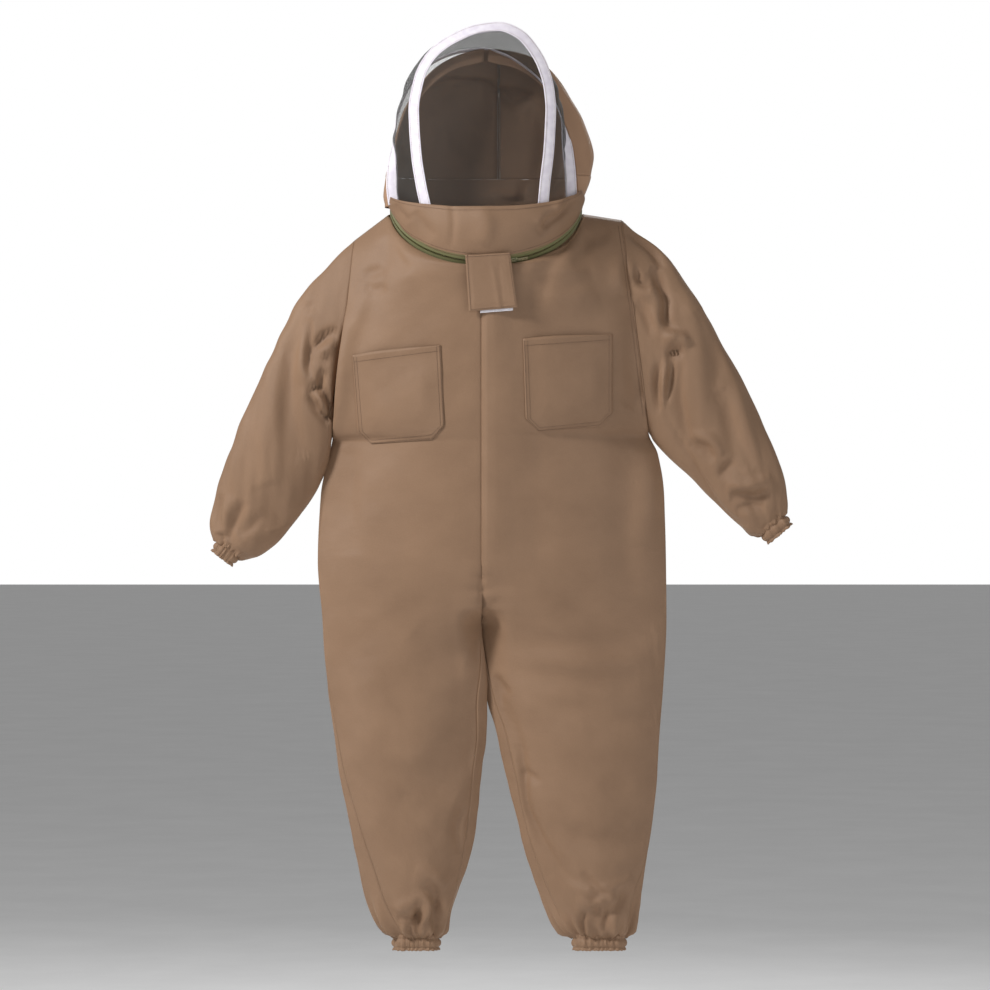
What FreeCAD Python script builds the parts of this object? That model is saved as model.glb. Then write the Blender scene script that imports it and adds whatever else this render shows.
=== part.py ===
import FreeCAD, Part
import math
import os
from FreeCAD import Vector

# A beekeeper's hooded coverall, empty and upright, held at the neck.
# Millimetres. +Z is up, the front faces -Y, +X is the wearer's left.
# The origin is on the centre line, level with the lower edge of the veil.

# cloth
CLOTH = 1.2
NET = 0.8
EDGE_GAP = 0.5
SEAM_DEPTH = 0.7

# collar zip: a ring tilted down towards the throat
RING_R = 190.0
RING_Z = 16.0
RING_TILT = 41.0
RING_HALF_ANGLE = 82.0
TAPE_W = 9.5
TAPE_T = 1.0
COIL_GAP = 0.8
COIL_W = 1.5
COIL_T = 2.4
NECK_CUT_R = 197.0
NECK_CUT_BELOW = 12.5

# front zip, a straight line leaning with the chest
ZIP_X = 8.0
ZIP_TOP = -124.0
ZIP_BOTTOM = -690.0
CHEST_Y = -141.0
CHEST_Z = -110.0
CHEST_SLOPE = 0.1
ZIP_EDGE = 5.6

# fly over the front zip
FLY_LEFT = -8.0
FLY_RIGHT = 34.0
FLY_STAND_OFF = 8.6
FLY_CURVE = 260.0

# zip slider
SLIDER_W = 9.0
SLIDER_L = 12.0
SLIDER_PLATE = 1.4
SLIDER_CLEAR = 0.5
POST_W = 0.9
BAIL_H = 3.2
BAIL_T = 1.2
PULL_W = 6.0
PULL_L = 24.0
PULL_T = 1.2
PULL_EYE = 4.2
PULL_BAR = 1.0
LEFT_SLIDER_ANGLE = 16.5
RIGHT_SLIDER_ANGLE = -3.0
FRONT_SLIDER_Z = -140.0

# throat flap
FLAP_HINGE_Z = -94.0
FLAP_HINGE_Y = -159.0
FLAP_LEAN = 4.6
FLAP_T = 3.0
HOOK_T = 1.2
HOOK_GAP = 0.4

# pockets
POCKET_DEPTH = 10.0
POCKET_WALL = 1.0
POCKET_CHAMFER = 26.0
POCKET_GAP = 0.4

# hoops and their binding tape
BIND_W = 22.0
BIND_T = 4.4
BONE_W = 6.0
BONE_T = 1.5
BONE_CLEAR = 0.3
FRONT_HOOP_Y = -127.0
FRONT_HOOP_LEAN = 0.09
REAR_HOOP_Y = -70.0
REAR_HOOP_LEAN = 0.25
HOOP_MIDDLE_Z = 130.0
FACE_BULGE = 26.0
CROWN_BULGE = 14.0
CROWN_INSET = 2.0
CROWN_GAP = 1.6
VEIL_TOP_HALF = 14.0
VEIL_INSET = 3.0
VEIL_FULL_HALF = 100.0
BASE_RISE = 26.0

# elastic back waist, a curve across the inside of the back
WAIST_Y = 54.0
WAIST_SPAN = 320.0

# elastic hems
HEM_WALL = 4.0
HEM_H = 22.0
ELASTIC_T = 1.2
ELASTIC_INSET = 6.0
ELASTIC_CLEAR = 0.3
CUFF_W = 32.0
ANKLE_W = 34.0
KNEE_Z = -1106.0

os.makedirs("parts", exist_ok=True)


# ---------------------------------------------------------------- helpers


def lerp(a, b, t):
    return a + (b - a) * t


def smooth(table, s):
    """Smooth value of a table of (s, value) pairs, on cubic spans."""
    last = len(table) - 1
    k = 0
    while k < last - 1 and (table[k + 1][0] - s) * (table[-1][0] - table[0][0]) < 0:
        k += 1
    (s0, v0), (s1, v1) = table[k], table[k + 1]
    t = (s - s0) / (s1 - s0)

    def slope(i):
        lo, hi = max(i - 1, 0), min(i + 1, last)
        return (table[hi][1] - table[lo][1]) / (table[hi][0] - table[lo][0])

    m0, m1 = slope(k) * (s1 - s0), slope(k + 1) * (s1 - s0)
    a = 2 * t**3 - 3 * t**2 + 1
    b = t**3 - 2 * t**2 + t
    return a * v0 + b * m0 + (1 - a) * v1 + (t**3 - t**2) * m1


def column(rows, i):
    """The pairs (first value, value i) of a table of rows."""
    return [(row[0], row[i]) for row in rows]


def slab(inner, outer):
    """A closed sheet between two grids of points."""
    surfaces = []
    for grid in (inner, outer):
        surface = Part.BSplineSurface()
        surface.interpolate(grid)
        surfaces.append(surface)
    faces = [s.toShape() for s in surfaces]
    for iso, bound in (("uIso", 0), ("uIso", 1), ("vIso", 2), ("vIso", 3)):
        edges = []
        for s in surfaces:
            edges.append(getattr(s, iso)(s.bounds()[bound]).toShape())
        faces.append(Part.makeRuledSurface(edges[0], edges[1]))
    shell = Part.makeShell(faces)
    shell.sewShape()
    solid = Part.Solid(Part.Shell(shell.Faces))
    if solid.Volume < 0:
        solid.reverse()
    return solid


def shifted(grid, vector):
    return [[p + vector for p in row] for row in grid]


def normals(grid):
    """A unit normal at each point of a grid."""
    result = []
    for i, row in enumerate(grid):
        up = grid[min(i + 1, len(grid) - 1)]
        down = grid[max(i - 1, 0)]
        line = []
        for j in range(len(row)):
            along = up[j] - down[j]
            across = row[min(j + 1, len(row) - 1)] - row[max(j - 1, 0)]
            line.append(along.cross(across).normalize())
        result.append(line)
    return result


def pushed(grid, distance):
    """A grid moved along its own normals."""
    ns = normals(grid)
    return [[p + n * distance for p, n in zip(r, q)] for r, q in zip(grid, ns)]


def prism(points, y0, y1):
    """A block along Y over a polygon of (x, z) points."""
    ring = [Vector(x, y0, z) for x, z in points]
    face = Part.Face(Part.makePolygon(ring + ring[:1]))
    return face.extrude(Vector(0, y1 - y0, 0))


def box(x0, x1, y0, y1, z0, z1):
    return Part.makeBox(x1 - x0, y1 - y0, z1 - z0, Vector(x0, y0, z0))


def save(node, shape):
    solids = shape.Solids
    good = shape.isValid() and solids and min(s.Volume for s in solids) > 0
    print(f"{node:28s} {len(solids)} solid, {shape.Volume / 1000:9.2f} cm3 {'' if good else 'BAD'}")
    shape.exportStep(f"parts/{node}.step")


# ------------------------------------------------- torso and leg panels

# each row: z at the inner edge, z at the outer edge, inner x, outer x,
# depth at the inner edge, depth at the outer edge, bulge between
FRONT_LEFT = [
    (0, -20, 15, 266, 150, 0, -34),
    (-60, -75, 15, 273, 146, 22, 3),
    (-110, -130, 15, 280, 141, 40, 18),
    (-200, -215, 15, 291, 132, 48, 22),
    (-320, -330, 15, 306, 120, 40, 25),
    (-440, -440, 15, 320, 108, 3, 30),
    (-560, -560, 15, 350, 96, 2, 30),
    (-690, -690, 15, 354, 83, 0, 30),
    (-750, -750, -7, 355, 72, 0, 32),
    (-804, -804, -6, 355, 50, 0, 38),
    (-860, -860, -1, 352, 18, 0, 50),
    (-930, -930, 6, 349, 2, 0, 58),
    (-1020, -1020, 20, 342, 0, 0, 58),
    (KNEE_Z, KNEE_Z, 38, 336, 0, 0, 55),
]
FRONT_RIGHT = [
    (0, -60, -1, 258, 150, 0, -34),
    (-60, -100, -1, 263, 146, 20, 3),
    (-110, -150, -1, 268, 141, 38, 18),
    (-200, -230, -1, 277, 132, 48, 22),
    (-320, -335, -1, 289, 120, 40, 25),
    (-450, -450, -1, 302, 107, 3, 30),
    (-560, -560, -1, 325, 96, 2, 30),
    (-690, -690, -1, 331, 83, 0, 30),
    (-750, -750, 9, 327, 72, 0, 32),
    (-804, -804, 9, 322, 50, 0, 38),
    (-860, -860, 4, 319, 18, 0, 50),
    (-930, -930, -2, 312, 2, 0, 58),
    (-1020, -1020, -3, 301, 0, 0, 58),
    (KNEE_Z, KNEE_Z, 8, 290, 0, 0, 55),
]
# back depths, by height of the inner edge: inner edge, outer edge, bulge
BACK_DEPTH = [
    (0, 78, 0, -14),
    (-60, 82, 20, 4),
    (-110, 84, 38, 12),
    (-200, 82, 46, 16),
    (-320, 76, 38, 18),
    (-450, 64, 3, 18),
    (-560, 72, 2, 22),
    (-690, 76, 0, 26),
    (-750, 66, 0, 30),
    (-804, 46, 0, 36),
    (-860, 18, 0, 46),
    (-930, 2, 0, 52),
    (-1020, 0, 0, 54),
    (KNEE_Z, 0, 0, 52),
]
# lower legs: z, inner x, outer x, bulge
LOWER_LEFT = [
    (KNEE_Z - EDGE_GAP, 38, 336, 54),
    (-1180, 56, 330, 53),
    (-1253, 75, 320, 50),
    (-1330, 103, 304, 46),
    (-1395, 136, 288, 36),
    (-1432, 170, 275, 15),
]
LOWER_RIGHT = [
    (KNEE_Z - EDGE_GAP, 8, 290, 54),
    (-1180, 16, 275, 53),
    (-1253, 27, 260, 50),
    (-1330, 50, 240, 46),
    (-1395, 78, 212, 36),
    (-1432, 92, 182, 15),
]
ACROSS = [0, 0.12, 0.3, 0.5, 0.7, 0.88, 1]


def panel_row(z0, z1, x0, x1, deep0, deep1, bulge, side, face):
    """Points across a panel; side mirrors X, face is -1 front, 1 back."""
    row = []
    for u in ACROSS:
        depth = max(lerp(deep0, deep1, u) + bulge * 4 * u * (1 - u), SEAM_DEPTH)
        row.append(Vector(side * lerp(x0, x1, u), face * depth, lerp(z0, z1, u)))
    return row


def refined(rows):
    """A table with a smooth row added between each two."""
    columns = [[(k, row[i]) for k, row in enumerate(rows)] for i in range(len(rows[0]))]
    steps = [k / 2 for k in range(2 * len(rows) - 1)]
    return [tuple(smooth(c, s) for c in columns) for s in steps]


def panel_grid(rows, side, face):
    grid = []
    for row in refined(rows):
        depths = row[4:]
        if face > 0:
            depths = [smooth(column(BACK_DEPTH, i), row[0]) for i in (1, 2, 3)]
        grid.append(panel_row(*row[:4], *depths, side, face))
    return grid


def lower_grid(rows, side, face):
    return [panel_row(z, z, a, b, 0, 0, c, side, face) for z, a, b, c in refined(rows)]


def panel(grid, face):
    return slab(grid, shifted(grid, Vector(0, face * CLOTH, 0)))


def back_rows(rows):
    """Front rows with the inner edge on the centre-back seam and a raised nape."""
    changed = []
    for z0, z1, x0, x1, *depths in rows:
        inner = 0.6 if z0 > -720 else x0
        changed.append((18 if z0 == 0 else z0, z1, inner, x1, *depths))
    return changed


RING_SIN = math.sin(math.radians(RING_TILT))
RING_COS = math.cos(math.radians(RING_TILT))
RING_AXIS = Vector(0, -RING_SIN, RING_COS)
RING_CENTRE = Vector(0, 0, RING_Z)


def ring_cylinder(radius, low, high):
    """A cylinder about the collar ring's axis, from low to high along it."""
    return Part.makeCylinder(radius, high - low, RING_CENTRE + RING_AXIS * low, RING_AXIS)


def make_panels():
    neck = ring_cylinder(NECK_CUT_R, -NECK_CUT_BELOW, 250)
    faces = {}
    for name, side, rows in (("left", 1, FRONT_LEFT), ("right", -1, FRONT_RIGHT)):
        grid = panel_grid(rows, side, -1)
        surface = Part.BSplineSurface()
        surface.interpolate(shifted(grid, Vector(0, -CLOTH, 0)))
        faces[name] = surface.toShape()
        save(f"front_panel_{name}", panel(grid, -1).cut(neck))
        save(f"back_panel_{name}", panel(panel_grid(back_rows(rows), side, 1), 1).cut(neck))
    for name, side, rows in (("left", 1, LOWER_LEFT), ("right", -1, LOWER_RIGHT)):
        save(f"lower_leg_front_{name}", panel(lower_grid(rows, side, -1), -1))
        save(f"lower_leg_back_{name}", panel(lower_grid(rows, side, 1), 1))
    return faces


def chest_y(z):
    """The outside of the chest on the centre line."""
    return CHEST_Y + CHEST_SLOPE * (CHEST_Z - z) - CLOTH


def surface_y(face, x, z):
    """Where a line along Y meets the outside of a front panel."""
    line = Part.makeLine(Vector(x, -400, z), Vector(x, 50, z))
    return face.distToShape(line)[1][0][0].y


# ------------------------------------------------------------- pockets

# corners of the pockets, top left round to bottom left, seen from the front
POCKET_RIGHT = [(-261, -288), (-88, -268), (-80, -452), (-250, -462)]
POCKET_LEFT = [(72, -258), (248, -245), (248, -426), (78, -438)]


def pocket_outline(corners, inset, top_extra):
    """The pocket's shape with cut lower corners, shrunk by inset."""
    (ax, az), (bx, bz), (cx, cz), (dx, dz) = corners
    c = POCKET_CHAMFER
    return [
        (ax + inset, az + top_extra),
        (bx - inset, bz + top_extra),
        (cx - inset, cz + c),
        (cx - c, cz + inset),
        (dx + c, dz + inset),
        (dx + inset, dz + c),
    ]


def make_pocket(name, corners, face):
    xs = [c[0] for c in corners]
    zs = [c[1] for c in corners]
    grid = []
    for i in range(5):
        z = lerp(min(zs) - 5, max(zs) + 5, i / 4)
        row = []
        for j in range(5):
            x = lerp(min(xs) - 5, max(xs) + 5, j / 4)
            row.append(Vector(x, surface_y(face, x, z) - POCKET_GAP, z))
        grid.append(row)
    deep = slab(grid, shifted(grid, Vector(0, -POCKET_DEPTH - POCKET_WALL, 0)))
    hollow = slab(grid, shifted(grid, Vector(0, -POCKET_DEPTH, 0)))
    block = deep.common(prism(pocket_outline(corners, 0, 0), -300, 0))
    room = hollow.common(prism(pocket_outline(corners, 1.5, 10), -300, 0))
    save(f"chest_pocket_{name}", block.cut(room))


# ------------------------------------------------------------- sleeves

# each station: upper edge (x, z), lower edge (x, z), half depth
SLEEVE_LEFT = [
    ((267, -20), (321, -440), 49),
    ((355, -92), (354, -478), 49),
    ((440, -218), (405, -528), 48),
    ((505, -336), (452, -580), 46),
    ((562, -462), (498, -622), 42),
    ((591, -560), (524, -641), 30),
    ((584, -604), (543, -638), 15),
]
SLEEVE_RIGHT = [
    ((-259, -60), (-303, -450), 49),
    ((-335, -136), (-318, -515), 49),
    ((-410, -255), (-345, -572), 48),
    ((-472, -395), (-380, -618), 46),
    ((-522, -520), (-420, -660), 42),
    ((-541, -615), (-462, -684), 30),
    ((-524, -654), (-490, -680), 15),
]


SLEEVE_TURNS = [6, 30, 60, 90, 120, 150, 180, 210, 240, 270, 300, 330, 354]


def sleeve_grid(stations, side):
    """Points round the sleeve from its underarm seam over the top and back."""
    flat = refined([(*upper, *lower, depth) for upper, lower, depth in stations])
    grid = []
    for ux, uz, lx, lz, depth in flat:
        row = []
        for turn in SLEEVE_TURNS:
            a = math.radians(turn)
            share = (1 - math.cos(a)) / 2
            row.append(Vector(lerp(lx, ux, share), side * depth * math.sin(a), lerp(lz, uz, share)))
        grid.append(row)
    return grid


def make_sleeve(name, stations, side):
    grid = sleeve_grid(stations, side)
    save(f"sleeve_{name}", slab(grid, pushed(grid, CLOTH)))


# -------------------------------------------------------- elastic hems


def stadium(length, width, height):
    """A block with round ends, about the origin, along Z from 0."""
    r = width / 2
    body = box(-length / 2 + r, length / 2 - r, -r, r, 0, height)
    for end in (-1, 1):
        x = end * (length / 2 - r)
        body = body.fuse(Part.makeCylinder(r, height, Vector(x, 0, 0)))
    return body.removeSplitter()


def stadium_ring(length, width, wall, z0, z1):
    ring = stadium(length, width, z1 - z0).cut(stadium(length - 2 * wall, width - 2 * wall, z1 - z0))
    ring.translate(Vector(0, 0, z0))
    return ring


def make_hem(casing, elastic, centre, turn, length, width):
    """A gathered casing with its elastic sealed inside, hanging below centre."""
    room = (HEM_WALL - ELASTIC_T) / 2
    low, high = -HEM_H + ELASTIC_INSET, -ELASTIC_INSET
    band = stadium_ring(length - 2 * room, width - 2 * room, ELASTIC_T, low, high)
    room -= ELASTIC_CLEAR
    wall = ELASTIC_T + 2 * ELASTIC_CLEAR
    low, high = low - ELASTIC_CLEAR, high + ELASTIC_CLEAR
    cavity = stadium_ring(length - 2 * room, width - 2 * room, wall, low, high)
    ring = stadium_ring(length, width, HEM_WALL, -HEM_H, 0).cut(cavity)
    place = FreeCAD.Placement(Vector(*centre), FreeCAD.Rotation(Vector(0, 1, 0), turn))
    for node, shape in ((casing, ring), (elastic, band)):
        shape.Placement = place.multiply(shape.Placement)
        save(node, shape)


def sleeve_end(stations):
    """Centre, tilt and length of the hem at a sleeve's open end."""
    (ux, uz), (lx, lz), _ = stations[-1]
    centre = ((ux + lx) / 2, 0, (uz + lz) / 2)
    turn = math.degrees(math.atan2(-(lz - uz), lx - ux))
    if ux > lx:
        turn = math.degrees(math.atan2(-(uz - lz), ux - lx))
    return centre, turn, math.hypot(ux - lx, uz - lz) + 2


def make_hems():
    for name, stations in (("left", SLEEVE_LEFT), ("right", SLEEVE_RIGHT)):
        centre, turn, length = sleeve_end(stations)
        (ux, uz), (lx, lz), _ = stations[-1]
        out = Vector(lz - uz, 0, ux - lx).normalize()
        if out.z > 0:
            out = out * -1
        start = Vector(*centre) + out * 0.8
        make_hem(f"cuff_casing_{name}", f"wrist_elastic_{name}", tuple(start), turn, length, CUFF_W)
    for name, side, rows in (("left", 1, LOWER_LEFT), ("right", -1, LOWER_RIGHT)):
        z, x0, x1, _ = rows[-1]
        centre = (side * (x0 + x1) / 2, 0, z - EDGE_GAP)
        make_hem(f"leg_hem_{name}", f"ankle_elastic_{name}", centre, 0, (x1 - x0) - 6, ANKLE_W)


# --------------------------------------------------------------- zips


def ring_segment(r0, r1, n0, n1, a0, a1):
    """Part of a tube about the collar ring's axis, between two angles from the throat."""
    place = FreeCAD.Placement(RING_CENTRE, FreeCAD.Rotation(Vector(1, 0, 0), RING_TILT))
    tube = Part.makeCylinder(r1, n1 - n0, Vector(0, 0, n0), Vector(0, 0, 1), a1 - a0)
    tube = tube.cut(Part.makeCylinder(r0, n1 - n0, Vector(0, 0, n0)))
    tube.Placement = place.multiply(FreeCAD.Placement(Vector(), FreeCAD.Rotation(Vector(0, 0, 1), a0 - 90)))
    return tube


def make_collar_zip():
    a = RING_HALF_ANGLE
    for part, sign in (("lower", -1), ("upper", 1)):
        coil = sorted((sign * COIL_GAP, sign * (COIL_GAP + COIL_W)))
        tape = sorted((sign * (COIL_GAP + COIL_W), sign * (COIL_GAP + COIL_W + TAPE_W)))
        half_coil, half_tape = COIL_T / 2, TAPE_T / 2
        save(
            f"collar_zip_{part}_coil",
            ring_segment(RING_R - half_coil, RING_R + half_coil, *coil, -a, a),
        )
        save(
            f"collar_zip_{part}_tape",
            ring_segment(RING_R - half_tape, RING_R + half_tape, *tape, -a, a),
        )


LEAN = math.degrees(math.atan(CHEST_SLOPE))


def on_chest(shape, z):
    """Puts a shape that stands in the XZ plane on the leaning chest line, at height z."""
    turn = FreeCAD.Rotation(Vector(1, 0, 0), LEAN)
    place = FreeCAD.Placement(Vector(ZIP_X, chest_y(z), z), turn)
    shape.Placement = place.multiply(shape.Placement)
    return shape


def make_front_zip():
    length = (ZIP_TOP - ZIP_BOTTOM) / math.cos(math.radians(LEAN))
    for name, side in (("left", 1), ("right", -1)):
        coil = sorted((side * COIL_GAP, side * (COIL_GAP + COIL_W)))
        tape = sorted((side * (COIL_GAP + COIL_W), side * ZIP_EDGE))
        save(
            f"front_zip_coil_{name}",
            on_chest(box(*coil, -COIL_T / 2, COIL_T / 2, -length, 0), ZIP_TOP),
        )
        save(
            f"front_zip_tape_{name}",
            on_chest(box(*tape, -TAPE_T / 2, TAPE_T / 2, -length, 0), ZIP_TOP),
        )
    stop = box(-3, 3, -2.4, 2.4, -length - 4, -length)
    save("front_zip_bottom_stop", on_chest(stop, ZIP_TOP))


def slider_body(both_plates):
    """A slider about the origin on a chain that runs along Z and faces -Y."""
    front = COIL_T / 2 + SLIDER_CLEAR
    w, half = SLIDER_W / 2, SLIDER_L / 2
    body = box(-w, w, -front - SLIDER_PLATE, -front, -half, half)
    back = front if both_plates else -front + 0.1
    body = body.fuse(box(-POST_W / 2, POST_W / 2, -front - 0.1, back, half - 3, half - 0.5))
    if both_plates:
        body = body.fuse(box(-w, w, front, front + SLIDER_PLATE, -half, half))
    top = -front - SLIDER_PLATE
    bail = box(-BAIL_T / 2, BAIL_T / 2, top - BAIL_H, top, -half + 1, half - 1)
    bail = bail.cut(box(-BAIL_T, BAIL_T, top - BAIL_H + BAIL_T, top + 0.01, -half + 2.2, half - 2.2))
    return body.fuse(bail).removeSplitter()


def pull_body():
    """A pull that hangs down from the bail, its end bar about the hinge line."""
    w = PULL_W / 2
    plate = box(-w, w, -PULL_T / 2, PULL_T / 2, -PULL_L, PULL_BAR / 2)
    return plate.cut(box(-1.2, 1.2, -PULL_T, PULL_T, -PULL_BAR / 2 - PULL_EYE, -PULL_BAR / 2))


PULL_Y = -(COIL_T / 2 + SLIDER_CLEAR + SLIDER_PLATE + BAIL_H - BAIL_T - PULL_T / 2 - 0.25)
BAIL_EYE_Z = -SLIDER_L / 2 + 1 + BAIL_T + 1


def ring_place(angle):
    """A frame on the collar chain: its Z along the chain, -Y outwards."""
    base = FreeCAD.Placement(RING_CENTRE, FreeCAD.Rotation(Vector(1, 0, 0), RING_TILT))
    swing = FreeCAD.Placement(Vector(), FreeCAD.Rotation(Vector(0, 0, 1), angle))
    out = FreeCAD.Placement(Vector(0, -RING_R, 0), FreeCAD.Rotation())
    return base.multiply(swing).multiply(out)


def make_sliders():
    front = on_chest(slider_body(True), FRONT_SLIDER_Z)
    save("front_slider", front)
    pull = pull_body()
    pull.translate(Vector(0, PULL_Y, BAIL_EYE_Z))
    save("front_pull", on_chest(pull, FRONT_SLIDER_Z))
    for name, angle, flip in (("left", LEFT_SLIDER_ANGLE, -1), ("right", RIGHT_SLIDER_ANGLE, 1)):
        place = ring_place(angle)
        body = slider_body(False)
        body.rotate(Vector(), Vector(0, 1, 0), flip * 90)
        body.Placement = place.multiply(body.Placement)
        save(f"collar_slider_{name}", body)
        pull = pull_body()
        pull.translate(Vector(0, PULL_Y, BAIL_EYE_Z))
        pull.rotate(Vector(), Vector(0, 1, 0), flip * 90)
        pull.Placement = place.multiply(pull.Placement)
        save(f"collar_pull_{name}", pull)


# ---------------------------------------------------- fly, flap, waist


def make_fly():
    grid = []
    for i in range(6):
        z = lerp(ZIP_TOP - 4, ZIP_BOTTOM - 8, i / 5)
        y = chest_y(z) - FLY_STAND_OFF
        across = (FLY_LEFT, 2, ZIP_X, 20, FLY_RIGHT)
        grid.append([Vector(x, y + (x - ZIP_X) ** 2 / FLY_CURVE, z) for x in across])
    save("front_fly", slab(grid, shifted(grid, Vector(0, -CLOTH, 0))))


FLAP_CORNERS = [(-40, -97), (47, -92), (61, -198), (-33, -206)]
HOOK_CORNERS = [(-12, -184), (51, -180), (52, -202), (-11, -207)]
LOOP_CORNERS = [(-16, -150), (50, -146), (54, -196), (-12, -201)]


def leaning(points, y0, y1):
    """A block over points, turned back by the flap's lean about its hinge."""
    block = prism(points, FLAP_HINGE_Y + y0, FLAP_HINGE_Y + y1)
    block.rotate(Vector(0, FLAP_HINGE_Y, FLAP_HINGE_Z), Vector(1, 0, 0), FLAP_LEAN)
    return block


def make_flap():
    save("throat_flap", leaning(FLAP_CORNERS, 0, FLAP_T))
    save("flap_hook_tape", leaning(HOOK_CORNERS, FLAP_T, FLAP_T + HOOK_T))
    loop = FLAP_T + HOOK_T + HOOK_GAP
    save("flap_loop_tape", leaning(LOOP_CORNERS, loop, loop + HOOK_T))


def make_waist():
    """The casing inside the back waist with its elastic."""

    def strip(z0, z1, half, inset):
        grid = []
        for i in range(2):
            z = lerp(z0, z1, i)
            row = []
            for j in range(9):
                x = lerp(-half, half, j / 8)
                row.append(Vector(x, WAIST_Y * (1 - (x / WAIST_SPAN) ** 2) - inset, z))
            grid.append(row)
        return grid

    def block(z0, z1, half, y0, y1):
        return slab(strip(z0, z1, half, y0), strip(z0, z1, half, y1))

    casing = block(-488, -448, 240, 4.5, 0)
    casing = casing.cut(block(-484.3, -451.7, 236, 3.3, 1.2))
    save("waist_casing", casing)
    save("waist_elastic", block(-484, -452, 235, 2.9, 1.6))


# ---------------------------------------------------------------- hood

# height, half width of the front hoop
FRONT_HOOP = [
    (10, 119),
    (50, 130),
    (110, 139),
    (160, 141),
    (215, 135),
    (265, 117),
    (305, 90),
    (335, 52),
    (352, 0),
]
# height, half width of the rear hoop
REAR_HOOP = [
    (20, 181),
    (60, 178),
    (110, 171),
    (160, 158),
    (205, 138),
    (243, 110),
    (270, 76),
    (286, 38),
    (292, 0),
]
# height, half width of the back, back of the spine
BACK_SHAPE = [
    (24, 190, 76),
    (66, 201, 88),
    (130, 202, 96),
    (180, 187, 94),
    (225, 166, 84),
    (262, 140, 66),
    (290, 104, 44),
    (306, 60, 26),
    (312, 16, 12),
]
BAND_TOP = 66.0


def hoop_points(table, y0, lean):
    """The hoop's curve from the right foot over the top to the left foot."""
    left = [Vector(x, y0 + lean * z, z) for z, x in table]
    right = [Vector(-p.x, p.y, p.z) for p in left[:-1]]
    return right + left[::-1]


def front_hoop_points():
    return hoop_points(FRONT_HOOP, FRONT_HOOP_Y, FRONT_HOOP_LEAN)


def rear_hoop_points():
    return hoop_points(REAR_HOOP, REAR_HOOP_Y, REAR_HOOP_LEAN)


def outward(points, across):
    """Directions away from the middle of the hood at a hoop's points."""
    centre = Vector(0, points[0].y, HOOP_MIDDLE_Z)
    outs = []
    for i, p in enumerate(points):
        along = points[min(i + 1, len(points) - 1)] - points[max(i - 1, 0)]
        out = across.cross(along).normalize()
        outs.append(out if out.dot(p - centre) > 0 else out * -1)
    return outs


def tape_grid(points, across, width, lift):
    """A band inside points, flat in the hoop's plane, moved back by lift."""
    grid = []
    for p, out in zip(points, outward(points, across)):
        middle = p - out * (BIND_W / 2) + across * lift
        grid.append([middle + out * (k * width / 2) for k in (-1, 1)])
    return grid


def make_hoop(name, points, lean):
    across = Vector(0, 1, -lean).normalize()

    def band(width, low, high):
        return slab(tape_grid(points, across, width, low), tape_grid(points, across, width, high))

    half = BIND_T / 2
    bone, clear = BONE_T / 2, BONE_T / 2 + BONE_CLEAR
    casing = band(BIND_W, -half, half).cut(band(BONE_W + 2 * BONE_CLEAR, -clear, clear))
    save(f"{name}_hoop_binding", casing)
    save(f"{name}_hoop", band(BONE_W, -bone, bone))


def veil_face_grid():
    """Rows of the face net, from the collar up to the inner edge of the front binding."""
    across = Vector(0, 1, -FRONT_HOOP_LEAN).normalize()
    points = front_hoop_points()
    outs = outward(points, across)
    side = [p - out * (BIND_W + VEIL_INSET) for p, out in zip(points, outs)][:len(FRONT_HOOP)]
    rows = [(1.0, -side[0].x - 2)]
    rows += [(p.z, max(-p.x, VEIL_TOP_HALF)) for p in side]
    grid = []
    for z, half in rows:
        row = []
        bulge = FACE_BULGE * min(half / VEIL_FULL_HALF, 1)
        for u in (-1, -0.75, -0.4, 0, 0.4, 0.75, 1):
            y = FRONT_HOOP_Y + FRONT_HOOP_LEAN * z
            row.append(Vector(u * half, y - bulge * (1 - u * u), z))
        grid.append(row)
    return grid


def crown_grid():
    """Net between the two hoops, from the right side over the top to the left."""
    front, rear = front_hoop_points(), rear_hoop_points()
    front_across = Vector(0, 1, -FRONT_HOOP_LEAN).normalize()
    rear_across = Vector(0, 1, -REAR_HOOP_LEAN).normalize()
    step = BIND_T / 2 + CROWN_GAP
    outs = zip(outward(front, front_across), outward(rear, rear_across))
    grid = []
    for a, b, (out_a, out_b) in zip(front, rear, outs):
        a2 = a - out_a * CROWN_INSET + front_across * step
        b2 = b - out_b * CROWN_INSET - rear_across * step
        mid = (a2 + b2) * 0.5
        out = Vector(mid.x, 0, max(mid.z - HOOP_MIDDLE_Z, 0)).normalize()
        lift = out * CROWN_BULGE
        grid.append([a2, lerp(a2, b2, 1 / 3) + lift, lerp(a2, b2, 2 / 3) + lift, b2])
    return grid


def back_row(z, half, back, side):
    """Points from the rear hoop round to the centre-back seam at height z."""
    top = REAR_HOOP[-1][0]
    hoop = max(smooth(REAR_HOOP, min(max(z, 20), top)), 4)
    y0 = REAR_HOOP_Y + REAR_HOOP_LEAN * z + BIND_T / 2 + 2.4
    y0 = min(y0, back - 10)
    half = max(half, hoop + 1)
    row = []
    for x, y in (
        (hoop, y0),
        (lerp(hoop, half, 0.85), lerp(y0, back, 0.18)),
        (half, lerp(y0, back, 0.42)),
        (half * 0.9, lerp(y0, back, 0.68)),
        (half * 0.62, lerp(y0, back, 0.9)),
        (half * 0.3, lerp(y0, back, 0.98)),
        (0.4, back),
    ):
        row.append(Vector(side * x, y, z))
    return row


def back_grid(levels, side):
    return [back_row(*level, side) for level in levels]


def band_grid(levels):
    """The lower back band, from the right side round the nape to the left."""
    grid = []
    for level in levels:
        right, left = back_row(*level, -1)[:-1], back_row(*level, 1)[:-1]
        grid.append(right + [Vector(0, level[2], level[0])] + left[::-1])
    return grid


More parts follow.
